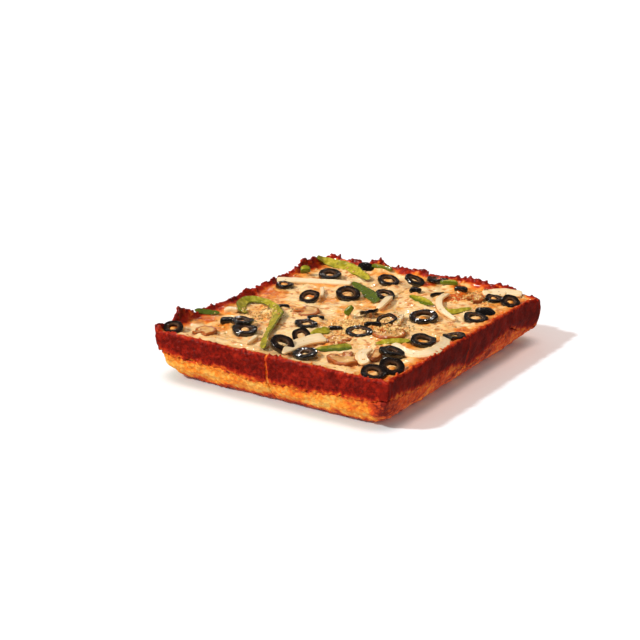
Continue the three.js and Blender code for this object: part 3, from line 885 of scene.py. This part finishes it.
@dataclass
class Olive:
    """A slice of black olive: a ring with a hole, or a domed end."""

    node: str
    ring: Ring
    top: float
    seed: int
    steps: int = 40
    slimness: float = 0.78
    more_tilt: float = 5.0

    def _profile(self) -> list[tuple[float, float]]:
        """The half section that is spun: distance from the middle, and height."""
        ring = self.ring
        half = self.slimness * ring.thick / 2
        if not ring.hole:
            return [
                (0.0, half), (0.35 * ring.radius, 0.9 * half), (0.7 * ring.radius, 0.45 * half),
                (0.92 * ring.radius, -0.15 * half), (ring.radius, -0.55 * half),
                (0.93 * ring.radius, -half), (0.6 * ring.radius, -0.9 * half), (0.0, -0.8 * half),
            ]
        soft = min(0.5, 0.3 * half)
        band = ring.radius - ring.hole
        upper = [
            (ring.hole, 0.35 * half), (ring.hole + 0.3 * soft, half - soft), (ring.hole + soft, half - 0.1),
            (ring.hole + 0.5 * band, half - 0.22), (ring.radius - 1.4 * soft, half),
            (ring.radius - 0.35 * soft, half - 0.6 * soft), (ring.radius, half - 1.6 * soft),
        ]
        return upper + [(r, -z) for r, z in reversed(upper)]

    def build(self, material: bpy.types.Material) -> bpy.types.Object:
        """Spins the section, softens the circle and lays the slice on the cheese."""
        ring = self.ring
        shape = bmesh.new()
        points = [shape.verts.new((r, 0.0, z)) for r, z in self._profile()]
        edges = [shape.edges.new(pair) for pair in zip(points, points[1:])]
        if ring.hole:
            edges.append(shape.edges.new((points[-1], points[0])))
        bmesh.ops.spin(
            shape, geom=points + edges, axis=(0, 0, 1), cent=(0, 0, 0), angle=2 * math.pi,
            steps=self.steps, use_merge=True,
        )
        bmesh.ops.remove_doubles(shape, verts=shape.verts, dist=0.001)
        bmesh.ops.recalc_face_normals(shape, faces=shape.faces)
        reach = ring.radius
        half = ring.thick / 2
        if ring.hole:
            tag(shape, "skin", lambda v: step(v.co.xy.length, reach - 0.7, reach - 0.3))
            tag(shape, "heart", lambda v: step(abs(v.co.xy.length - ring.hole - 0.2), 0.45, 0.1)
                * step(v.co.z, 0.0, 0.6 * half))
        else:
            tag(shape, "skin", lambda v: step(v.co.z, -0.7 * half, -0.4 * half))
        for vert in shape.verts:
            p = vert.co
            around = Vector((p.x, p.y, 0)).normalized() if p.xy.length > 0.01 else Vector()
            mark = around * 1.3 + Vector((0, 0, 5.1 * self.seed))
            share = p.xy.length / reach
            grow = 1 + 0.11 * noise.noise(mark) + 0.2 * noise.noise(mark * 1.9) * (1 - share)
            warp = 0.85 * noise.noise(mark * 1.2 + Vector((9, 0, 0))) * share
            vert.co = Vector((p.x * grow, p.y * grow, p.z + warp))
            vert.co += vert.co.normalized() * 0.2 * lumps(vert.co, 2.4, self.seed)
        lean = leaning(self.more_tilt, -57.0) @ leaning(ring.tilt, ring.lean) @ turned(47.0 * self.seed)
        rise = reach * math.sin(math.radians(ring.tilt)) + half * math.cos(math.radians(ring.tilt))
        lift = 0.5 * reach * math.sin(math.radians(self.more_tilt))
        place = Matrix.Translation((ring.x, ring.y, self.top - rise + lift))
        bmesh.ops.transform(shape, matrix=place @ lean, verts=shape.verts)
        return settle(shape, self.node + "_cut", material, Slot.OLIVE, self.node, soft=True)


class Side(Enum):
    """Where a pepper strip turns its skin."""

    UP = 90.0
    FLESH_UP = -90.0
    LEFT = 180.0


@dataclass
class Strip:
    """A strip of pepper or onion that runs over the cheese through its points."""

    node: str
    slab: Slab
    points: Sequence[tuple[float, float, float]]
    wide: float
    thick: float
    lift: float
    roll: float
    seed: int
    hollow: float
    squareness: float
    blunt: float
    unevenness: float = 1.0
    side: Side = Side.UP
    sink: float = 0.5
    spacing: float = 1.3
    highest: float = 36.0
    end_length: float = 2.6
    segments: int = 20

    def _path(self) -> list[Vector]:
        """Places along the strip's middle, close together and smooth, with the width's share as fourth."""
        rise = self.thick / 2 - self.sink + self.lift
        corners = [
            Vector((x, y, min(self.slab.field_height(x, y), self.highest) + rise, share))
            for x, y, share in self.points
        ]
        ends = [2 * corners[0] - corners[1]] + corners + [2 * corners[-1] - corners[-2]]
        path = []
        for a, b, c, d in zip(ends, ends[1:], ends[2:], ends[3:]):
            count = max(2, round((c - b).length / self.spacing))
            for i in range(count):
                t = i / count
                curve = c - a + t * (2 * a - 5 * b + 4 * c - d + t * (3 * (b - c) + d - a))
                path.append(b + 0.5 * t * curve)
        return path + [corners[-1]]

    def _frames(self, path: Sequence[Vector]) -> Iterator[Matrix]:
        """The turn, place and size of the section at each place of the path."""
        last = len(path) - 1
        for i, spot in enumerate(path):
            place = spot.to_3d()
            ahead = (path[min(i + 1, last)] - path[max(i - 1, 0)]).to_3d().normalized()
            beside = UP.cross(ahead).normalized()
            above = ahead.cross(beside)
            turn = Matrix((beside, above, ahead)).transposed().to_4x4()
            end = min(i, last - i) * self.spacing
            size = self.blunt + (1 - self.blunt) * step(end, 0.0, self.end_length)
            wide = size * spot[3] * (1 + 0.14 * self.unevenness * lumps(place, 9.0, self.seed))
            sized = Matrix.Diagonal((wide, size, 1.0, 1.0))
            yield Matrix.Translation(place) @ turn @ turned(self.roll) @ sized

    def build(self, material: bpy.types.Material, slot: Slot) -> bpy.types.Object:
        """Draws the section along the path and closes its ends."""
        shape = bmesh.new()
        skin, across, edge = layers(shape, "skin", "across", "edge")
        section = bmesh.ops.create_circle(shape, segments=self.segments, radius=1.0)["verts"]
        facing = math.radians(self.side.value)
        for vert in section:
            u, v = vert.co.x, vert.co.y
            vert[skin] = 0.5 + 0.5 * (u * math.cos(facing) + v * math.sin(facing))
            vert[across] = u
            vert[edge] = abs(u)
            u = math.copysign(abs(u) ** self.squareness, u)
            v = math.copysign(abs(v) ** self.squareness, v)
            hollow = self.hollow * (1 - u * u) * (1 if v > 0 else 0.4)
            vert.co = Vector((u * self.wide / 2, (v - hollow) * self.thick / 2, 0.0))
        frames = list(self._frames(self._path()))
        bmesh.ops.transform(shape, matrix=frames[0], verts=section)
        loop = list(shape.edges)
        first = list(loop)
        for before, after in zip(frames, frames[1:]):
            drawn = bmesh.ops.extrude_edge_only(shape, edges=loop)["geom"]
            loop = [g for g in drawn if isinstance(g, bmesh.types.BMEdge) and g.is_boundary]
            verts = {v for e in loop for v in e.verts}
            bmesh.ops.transform(shape, matrix=after @ before.inverted(), verts=list(verts))
        bmesh.ops.edgeloop_fill(shape, edges=first)
        bmesh.ops.edgeloop_fill(shape, edges=loop)
        bmesh.ops.recalc_face_normals(shape, faces=shape.faces)
        shape.normal_update()
        uneven = ((0.3, 2.2, self.seed), (0.35, 5.0, self.seed + 2))
        moves = [(v, v.normal * self.unevenness * relief(v.co, uneven)) for v in shape.verts]
        for vert, move in moves:
            vert.co += move
        return settle(shape, self.node + "_strip", material, slot, self.node, soft=True)


@dataclass
class MushroomSlice:
    """A slice of mushroom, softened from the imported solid."""

    node: str
    slab: Slab
    seed: int
    voxel: float = 0.5
    rind_width: float = 3.2
    sunk: float = 1.2

    def build(self, material: bpy.types.Material) -> bpy.types.Object:
        """Rounds the solid's edges, bows it a little and sinks it into the cheese."""
        shape = recast(merged([self.slab.nodes[self.node].data]), self.voxel)
        axes = {"use_axis_" + axis: True for axis in "xyz"}
        bmesh.ops.smooth_vert(shape, verts=shape.verts, factor=0.5, **axes)
        shape.normal_update()
        sides = [v.co.copy() for v in shape.verts if abs(v.normal.z) < 0.35]
        rind = KDTree(len(sides))
        for i, place in enumerate(sides):
            rind.insert(place, i)
        rind.balance()
        tag(shape, "edge", lambda v: 1 - min(1.0, rind.find(v.co)[2] / self.rind_width))
        for vert in shape.verts:
            p = vert.co.copy()
            bow = relief(p, ((0.45, 7.0, self.seed), (0.2, 2.5, self.seed)))
            vert.co.z += bow - self.sunk * step(vert.normal.z, 0.1, -0.5)
            for axis in (0, 1):
                vert.co[axis] += 0.25 * lumps(p, 3.0, self.seed + 1.0 + axis)
        return settle(shape, self.node + "_soft", material, Slot.MUSHROOM, self.node)


class Kind(Enum):
    """What a scrap was cut from."""

    OLIVE = "olive"
    PEPPER = "pepper"
    ONION = "onion"
    MUSHROOM = "mushroom"


@dataclass
class Scrap:
    """A small piece of topping that has baked into the cheese."""

    x: float
    y: float
    long: float
    wide: float
    high: float
    turn: float
    tip: float = 0.0
    roll: float = 0.0
    up: float = 0.0


@dataclass
class Scraps:
    """All scraps of one kind, as one piece."""

    kind: Kind
    slab: Slab
    nodes: Sequence[str]
    highest: float = 34.0

    def _cut(self, scrap: Scrap, seed: int) -> bpy.types.Mesh:
        """Shapes one scrap in millimetres: a slightly bent, uneven sliver."""
        shape = bmesh.new()
        skin, across, edge = layers(shape, "skin", "across", "edge")
        bmesh.ops.create_cube(shape, size=2.0)
        bmesh.ops.subdivide_edges(shape, edges=shape.edges[:], cuts=5, use_grid_fill=True)
        for vert in shape.verts:
            p = vert.co.copy()
            vert[across] = p.y
            vert[edge] = max(abs(p.x), abs(p.y)) ** 3
            vert[skin] = step(abs(p.y), 0.75, 0.95) if self.kind is Kind.OLIVE else step(p.y, -0.3, -0.9)
            p *= max(abs(c) for c in p) / sum(abs(c) ** 4 for c in p) ** 0.25
            bend = 0.18 * scrap.wide * (1 - p.x * p.x)
            taper = 1 - 0.3 * max(0.0, p.x + 0.3 * math.sin(seed))
            q = Vector((p.x * scrap.long / 2, p.y * taper * scrap.wide / 2 + bend, p.z * scrap.high / 2))
            q.z += 0.35 * lumps(q, 4.0, seed)
            vert.co = q + q.normalized() * 0.2 * lumps(q, 1.8, seed + 3.0)
        ground = self.slab.field_height(scrap.x, scrap.y)
        rise = min(ground, self.highest) + scrap.up - 0.1 * scrap.high
        lean = turned(scrap.turn) @ turned(scrap.tip, "Y") @ turned(scrap.roll, "X")
        place = Matrix.Translation((scrap.x, scrap.y, rise))
        bmesh.ops.transform(shape, matrix=place @ lean, verts=shape.verts)
        return to_mesh(shape, "scrap", 1.0)

    def build(self, material: bpy.types.Material) -> bpy.types.Object:
        """Adds every scrap of the kind to one mesh."""
        shape = bmesh.new()
        for seed, row in enumerate(SCRAPS[self.kind]):
            shape.from_mesh(self._cut(Scrap(*row), seed))
        return settle(shape, self.kind.value + "_scraps", material, Slot(self.kind.value), *self.nodes)


@dataclass
class Crumbs:
    """Seasoning strewn over the pizza: dry leaves or grains, as one piece."""

    name: str
    drifts: Sequence[tuple[float, float, float, float]]
    slot: Slot
    seed: int
    count: int
    smallest: float
    largest: float
    flatness: float
    strewn: float
    spread: float = 0.93
    margin: float = 5.0
    steepest: float = 0.3

    def _spot(self, pick: random.Random, slab: Slab) -> tuple[float, float]:
        """A place for one crumb: anywhere, or in one of the drifts."""
        if pick.random() < self.strewn:
            x = pick.uniform(-self.spread, self.spread) * slab.width / 2
            return x, pick.uniform(-self.spread, self.spread) * slab.length / 2
        x, y, spread, _ = pick.choices(self.drifts, [drift[3] for drift in self.drifts])[0]
        return pick.gauss(x, spread), pick.gauss(y, spread)

    def build(self, slab: Slab, floor: BVHTree, material: bpy.types.Material) -> bpy.types.Object:
        """Drops each crumb onto whatever lies under it.

        Args:
            slab: The pizza's sizes.
            floor: A search tree of everything that crumbs can land on, in metres.
            material: The crumbs' finish.

        Returns:
            The piece.
        """
        pick = random.Random(self.seed)
        shape = bmesh.new()
        for _ in range(self.count):
            x, y = self._spot(pick, slab)
            if slab.inward(Vector((x, y, 0))) < self.margin:
                continue
            hit, normal, _, _ = floor.ray_cast(Vector((x, y, 80.0)) * MM, DOWN)
            if hit is None or normal.z < self.steepest:
                continue
            size = pick.uniform(self.smallest, self.largest) / 2
            sized = Matrix.Diagonal((size, size * pick.uniform(0.22, 0.8), size * self.flatness, 1.0))
            facing = normal.to_track_quat("Z", "Y").to_matrix().to_4x4()
            spin = turned(pick.uniform(0, 360)) @ Matrix.Rotation(pick.uniform(-0.5, 0.5), 4, "X")
            place = Matrix.Translation(hit / MM + normal * size * self.flatness * 0.4)
            made = bmesh.ops.create_icosphere(shape, subdivisions=1, radius=1.0)["verts"]
            for vert in made:
                vert.co *= pick.uniform(0.75, 1.25)
            bmesh.ops.transform(shape, matrix=place @ facing @ spin @ sized, verts=made)
        return settle(shape, self.name, material, self.slot)


# ---- The pizza's own sizes ----

RINGS = (
    (-75, -91, 6.4, 2.6, 3.6, 16, -57), (-37, -68, 8, 3.4, 4.2, 3, 30), (-45, -59, 6.9, 2.8, 2.6, 7, 110),
    (-70, 24, 6.2, 3.4, 3.6, 6, 110), (-40, 9, 6.6, 3.4, 3.6, 18, -80), (-22, 28, 8.2, 4.1, 4.2, 13, -40),
    (-56, 59, 7.8, 3.2, 4, 8, -57), (-47, 93, 6.8, 0, 4.6, 8, -30), (-16, 71, 7.7, 3.9, 3.4, 11, 0),
    (-3, 44, 6.9, 3.2, 2.8, 9, 10), (-13, -36, 7.3, 3.1, 2.4, 4, 50), (0, -61, 5.8, 2.4, 2.6, 30, -60),
    (1, -83, 7.3, 3, 5, 24, -10), (18, -84, 7.6, 2.7, 3.2, 7, 200), (22, -30, 8.4, 4.8, 2.6, 2, 30),
    (9, 4, 6, 2.4, 3, 26, 145), (26, -3, 6.6, 4.4, 2.6, 13, -110), (43, 14, 9, 4.9, 4, 5, -90),
    (64, -24, 8.1, 4, 3.4, 5, 10), (76, -7, 7.2, 3, 2.6, 10, 130), (70, 33, 7.9, 4, 3, 3, 10),
    (69, 49, 6.9, 0, 3.8, 7, 20), (61, 77, 6.4, 2.6, 2.8, 4, 30), (75, 73, 6.6, 2.4, 3.2, 14, -40),
    (-1, 80, 7.2, 2.8, 3, 20, 20), (9, 94, 7.4, 2.8, 3, 9, 110), (60, -55, 7.6, 2.2, 3.8, 12, 60),
    (74, -79, 7.8, 3.3, 4.4, 16, -30), (69, -91, 7.7, 3.4, 3.4, 10, -30),
)

FRESH = PepperFinish("fresh_pepper", tint(96, 110, 10), tint(164, 148, 18), tint(206, 188, 62))
DEEP = PepperFinish("deep_green_pepper", tint(88, 102, 28), tint(154, 144, 34), tint(190, 178, 62))

# Section, lift, roll in degrees, which side is up, finish and the points that the strip runs through,
# each with its share of the width.
PEPPER_STRIPS = (
    (6.8, 2.4, 1.2, 26, Side.FLESH_UP, FRESH, (
        (-59, -39, 0.9), (-70, -26, 1.0), (-72, -15, 0.8), (-62, -12, 0.66), (-50, -18, 0.72),
        (-39, -30, 1.15), (-33, -42, 1.05), (-26, -57, 0.7), (-19, -72, 0.62), (-7, -91, 0.74))),
    (4.2, 2.0, 1.2, 34, Side.UP, DEEP, ((-84, -58, 0.7), (-79, -53, 1.0), (-71, -48, 0.8))),
    (7.6, 2.6, 1.4, 34, Side.FLESH_UP, FRESH, (
        (-81, 81, 0.7), (-78, 87, 0.9), (-67, 86, 1.1), (-54, 82, 1.05), (-41, 75, 0.85), (-29, 67, 0.5))),
    (7.0, 2.2, 0.8, 24, Side.UP, DEEP, ((-36, 55, 0.35), (-18, 44, 1.05), (1, 27, 0.85))),
    (5.8, 2.4, 0.9, 30, Side.FLESH_UP, FRESH, ((0, -53, 0.4), (2, -45, 0.85), (6, -38, 1.2))),
    (6.4, 2.4, 0.9, 26, Side.LEFT, DEEP, ((18, -73, 0.4), (25, -66, 0.85), (33, -56, 1.2))),
    (4.8, 2.2, 0.9, 25, Side.FLESH_UP, FRESH, ((42, -43, 0.7), (48, -35, 1.1), (57, -28, 0.8))),
    (5.4, 2.2, 0.9, 30, Side.LEFT, FRESH, ((11, 52, 0.4), (22, 47, 1.1), (35, 42, 0.5))),
    (4.0, 2.2, 0.9, 30, Side.FLESH_UP, FRESH, ((42, 39, 0.6), (51, 35, 1.1), (59, 49, 0.7))),
)

# Section, lift and the points that the strip runs through, each with its share of the width.
ONION_STRIPS = (
    (6.6, 1.8, 0.9, ((-80, 29, 1.0), (-59, 43, 1.05), (-35, 53, 0.9))),
    (8.2, 1.7, 2.6, ((10, -95, 0.35), (7, -84, 0.8), (6, -74, 1.0), (8, -64, 1.1), (13, -55, 1.25))),
    (7.6, 2.0, 2.2, ((45, -58, 1.15), (48, -70, 1.0), (57, -80, 0.85))),
    (7.0, 2.0, 1.4, (
        (52, -39, 0.6), (63, -47, 1.0), (73, -49, 1.1), (79, -43, 1.15), (79, -32, 1.1), (77, -20, 1.0),
        (72, -12, 0.9))),
    (4.8, 1.8, 1.8, ((31, 66, 1.3), (34, 51, 1.0), (45, 34, 0.9), (62, 20, 0.7))),
    (5.2, 2.0, 2.0, ((3, 40, 1.1), (10, 14, 0.9))),
    (4.6, 1.8, 1.8, ((28, 12, 0.9), (36, -8, 1.1))),
    (9.5, 1.6, 1.8, ((50, 82, 0.7), (60, 90, 1.1), (73, 95, 0.8))),
)

# Place, length, width, height and turn of each scrap, and for a few its tip, its roll and its lift.
SCRAPS = {
    Kind.OLIVE: (
        (-56, -59, 11, 6, 4, 33), (-15, -22, 11, 5, 2.4, 30), (-47, -13, 10, 3.4, 2.2, 35),
        (6, -32, 9, 5, 2.2, 35), (23, -15, 11, 4, 2.8, 30), (10, 62, 8, 7, 3, 20),
        (26, 64, 11, 3, 2.6, 50), (35, 80, 9, 6, 3.6, 0),
    ),
    Kind.PEPPER: (
        (-73, 54, 7, 5, 4, 33, 0, 30, 1.0), (0, -6, 7, 4, 4, 33, -50, 0, 2.0), (21, 89, 12, 6, 3, 20),
        (-35, 94, 17, 4, 3, -5),
    ),
    Kind.ONION: ((-41, 25, 22, 3, 2, -57), (-68, -40, 9, 7, 3, 33), (-24, -79, 18, 3, 2, -75)),
    Kind.MUSHROOM: ((53, -62, 18, 6, 3, -70),),
}

# How far in from each wall the rim has browned, how brown it is there, and how fast that falls off.
BROWNING = {
    # The right rim is browned less than the others, partly a painted highlight where its crest catches the
    # lamp.
    LEFT: (14.0, 0.98, 1.05), RIGHT: (13.0, 0.6, 1.05), BACK: (6.0, 0.92, 0.6), FRONT: (4.0, 0.7, 1.05),
}

# Where the cheese has browned more than elsewhere: x, y, reach and how brown it is.
SCORCHED = (
    (36, 69, 13, 0.5), (7, 85, 8, 0.55), (-35, -10, 6, 0.3), (-29, 17, 8, 0.3), (-46, 19, 7, 0.32),
    (-68, 8, 12, 0.4), (-72, -58, 9, 0.42), (30, 88, 9, 0.5), (60, -30, 8, 0.35), (74, 10, 7, 0.45),
)

# Where seasoning has drifted together: x, y, spread and how much of it lies there.
HERB_DRIFTS = ((-52, -28, 6, 1.2), (-46, -40, 6, 1.2), (24, -10, 9, 2.0), (40, -16, 8, 1.5), (52, 74, 9, 1.5))
SPICE_DRIFTS = (
    (-50, -32, 5, 1.2), (8, -18, 6, 2.0), (20, -10, 6, 2.5),
    (14, -30, 6, 2.0), (36, -12, 7, 1.5), (48, 74, 9, 1.0),
)


# ---- Studio ----


@dataclass
class Studio:
    """A pale floor that glows a little and carries a painted contact shadow, soft light from the front left
    and a camera at the photograph's angle.
    """

    lens: float = 83.8
    eye: tuple[float, float, float] = (473.9, -773.3, 326.4)
    right: tuple[float, float, float] = (0.8392, 0.5439, 0.0036)
    above: tuple[float, float, float] = (-0.174, 0.2622, 0.9492)
    back: tuple[float, float, float] = (0.5153, -0.7972, 0.3147)
    lamps: tuple[tuple[str, tuple[float, float, float], float, float], ...] = (
        ("key", (-0.42, -0.62, 0.68), 2.75, 5.0),
        ("back_sparkle", (-0.5, 0.72, 0.5), 0.12, 2.5),
        ("front_sparkle", (-0.5, -0.84, 0.26), 0.16, 2.5),
    )
    sky_colour: Colour = (1.0, 0.96, 0.9, 1.0)
    sky_power: float = 0.5
    ground_power: float = 0.95
    gloss_share: float = 0.12
    lamp_colour: tuple[float, float, float] = (1.0, 0.97, 0.93)
    floor_size: float = 20000.0
    floor_depth: float = 0.2
    floor_colour: Colour = (0.62, 0.8, 0.9, 1.0)
    # The floor glows a little though it is no lamp: painted light that lightens the shadow cast on it.
    painted_floor_glow: Colour = (1.0, 0.6, 0.48, 1.0)
    # Close to the walls the floor turns darker and stops glowing: a painted contact shadow.
    contact_shadow_colour: Colour = (0.58, 0.68, 0.72, 1.0)
    contact_shadow_glow: Colour = (0.0, 0.0, 0.0, 1.0)
    contact_shadow_reach: float = 13.0
    painted_glow_power: float = 0.46

    def build(self) -> None:
        """Sets up everything round the pizza."""
        self._floor()
        self._light()
        self._camera()

    def _floor(self) -> None:
        """Lays the floor that the pizza stands on, with a painted contact shadow close to the foot of the
        walls, and a glow of its own: painted light that lightens the lamp's shadow on it.
        """
        shape = bmesh.new()
        bmesh.ops.create_grid(shape, x_segments=1, y_segments=1, size=self.floor_size)
        bmesh.ops.translate(shape, vec=self.floor_depth * DOWN, verts=shape.verts)
        floor = shown("floor", to_mesh(shape, "floor"))
        mix = Recipe("pale_floor")
        reach = {"Distance": self.contact_shadow_reach * MM}
        # How open the floor is above; where the walls hem it in, it takes the painted contact shadow.
        clear = mix.node("ShaderNodeAmbientOcclusion", inputs=reach, output="AO").step(0.45, 1.0)
        finish = mix.done(
            Base_Color=mix.blend(clear, self.contact_shadow_colour, self.floor_colour),
            Roughness=0.9,
            Specular_IOR_Level=0.0,
            Emission_Color=mix.blend(clear, self.contact_shadow_glow, self.painted_floor_glow),
            Emission_Strength=self.painted_glow_power,
        )
        floor.data.materials.append(finish)
        floor.visible_diffuse = floor.visible_glossy = False

    def _light(self) -> None:
        """Hangs one large soft lamp, two faint ones for the wet glints and an even sky."""
        scene = bpy.context.scene
        for name, source, power, angle in self.lamps:
            lamp = bpy.data.lights.new(name, "SUN")
            lamp.energy = power
            lamp.angle = math.radians(angle)
            lamp.color = self.lamp_colour
            shown(name, lamp).rotation_euler = Vector(source).to_track_quat("Z", "Y").to_euler()
        scene.world = bpy.data.worlds.new("sky")
        sky = Recipe(scene.world)
        upward = sky.node("ShaderNodeSeparateXYZ", inputs={0: sky.node("ShaderNodeTexCoord")}, output="Z")
        power = self.ground_power + (self.sky_power - self.ground_power) * upward.step(-0.3, 0.3)
        glossy = sky.node("ShaderNodeLightPath", output="Is Glossy Ray")
        power = power * (1 - (1 - self.gloss_share) * glossy)
        light = sky.node("ShaderNodeBackground", inputs={"Color": self.sky_colour, "Strength": power})
        sky.close(light, "ShaderNodeOutputWorld")
        scene.view_settings.view_transform = "Standard"
        scene.view_settings.look = "None"

    def _camera(self) -> None:
        """Stands the camera where the photograph was taken from."""
        lens = bpy.data.cameras.new("camera")
        lens.lens = self.lens
        lens.sensor_width = 36.0
        lens.clip_start = 0.02
        camera = shown("camera", lens)
        turn = Matrix((self.right, self.above, self.back)).transposed().to_4x4()
        camera.matrix_world = Matrix.Translation(Vector(self.eye) * MM) @ turn
        bpy.context.scene.camera = camera


# ---- The whole scene ----


def landing(pieces: Iterable[bpy.types.Object]) -> BVHTree:
    """A search tree, in metres, of everything that crumbs can land on."""
    shape = bmesh.new()
    for piece in pieces:
        shape.from_mesh(piece.data)
    return tree_of(shape)


def main() -> None:
    """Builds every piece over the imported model, then the studio."""
    logging.basicConfig(level=logging.INFO, format="%(message)s")
    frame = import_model()
    slab = Slab(frame["nodes"])
    rings = [Ring(*row) for row in RINGS]
    cheese, dough = CheeseFinish().material(), DoughFinish().material()
    olive, onion, mushroom = (f.material() for f in (OliveFinish(), OnionFinish(), MushroomFinish()))
    peppers = {finish: finish.material() for finish in (FRESH, DEEP)}
    pieces: list[bpy.types.Object] = []
    for corner in ("front_left", "front_right", "back_right", "back_left"):
        part = Slice(corner, slab, rings)
        pieces += [part.cheese(cheese), part.dough(dough)]
    for i, ring in enumerate(rings, 1):
        node = f"olive_{i:02d}"
        pieces.append(Olive(node, ring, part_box(node)[1].z / MM, i).build(olive))
    for i, (wide, thick, lift, roll, side, finish, points) in enumerate(PEPPER_STRIPS, 1):
        strip = Strip(
            f"pepper_{i:02d}", slab, points, wide, thick, lift, roll, seed=i,
            hollow=0.7, squareness=0.7, blunt=0.4, side=side,
        )
        pieces.append(strip.build(peppers[finish], Slot.PEPPER))
    for i, (wide, thick, lift, points) in enumerate(ONION_STRIPS, 1):
        strip = Strip(
            f"onion_{i:02d}", slab, points, wide, thick, lift, roll=12.0, seed=i + 20,
            hollow=0.2, squareness=0.45, blunt=0.8, unevenness=0.4,
        )
        pieces.append(strip.build(onion, Slot.ONION))
    for i in range(1, 7):
        pieces.append(MushroomSlice(f"mushroom_{i:02d}", slab, i).build(mushroom))
    corners = [n for n in frame["nodes"] if n.startswith("cheese")]
    finishes = {Kind.OLIVE: olive, Kind.PEPPER: peppers[FRESH], Kind.ONION: onion, Kind.MUSHROOM: mushroom}
    pieces += [Scraps(kind, slab, corners).build(material) for kind, material in finishes.items()]
    floor = landing(piece for piece in pieces if not piece.name.startswith("olive"))
    herbs = CrumbFinish("dry_leaves", tint(172, 144, 70), tint(126, 92, 42)).material()
    grains = CrumbFinish("spice_grains", tint(252, 218, 142), tint(206, 142, 66)).material()
    Crumbs(
        "leaf_flecks", HERB_DRIFTS, Slot.PEPPER, seed=5, count=340,
        smallest=0.7, largest=2.4, flatness=0.25, strewn=0.2,
    ).build(slab, floor, herbs)
    Crumbs(
        "spice_grains", SPICE_DRIFTS, Slot.MUSHROOM, seed=6, count=1400,
        smallest=0.8, largest=2.2, flatness=0.6, strewn=0.06,
    ).build(slab, floor, grains)
    Studio().build()


if __name__ == "__main__":
    main()
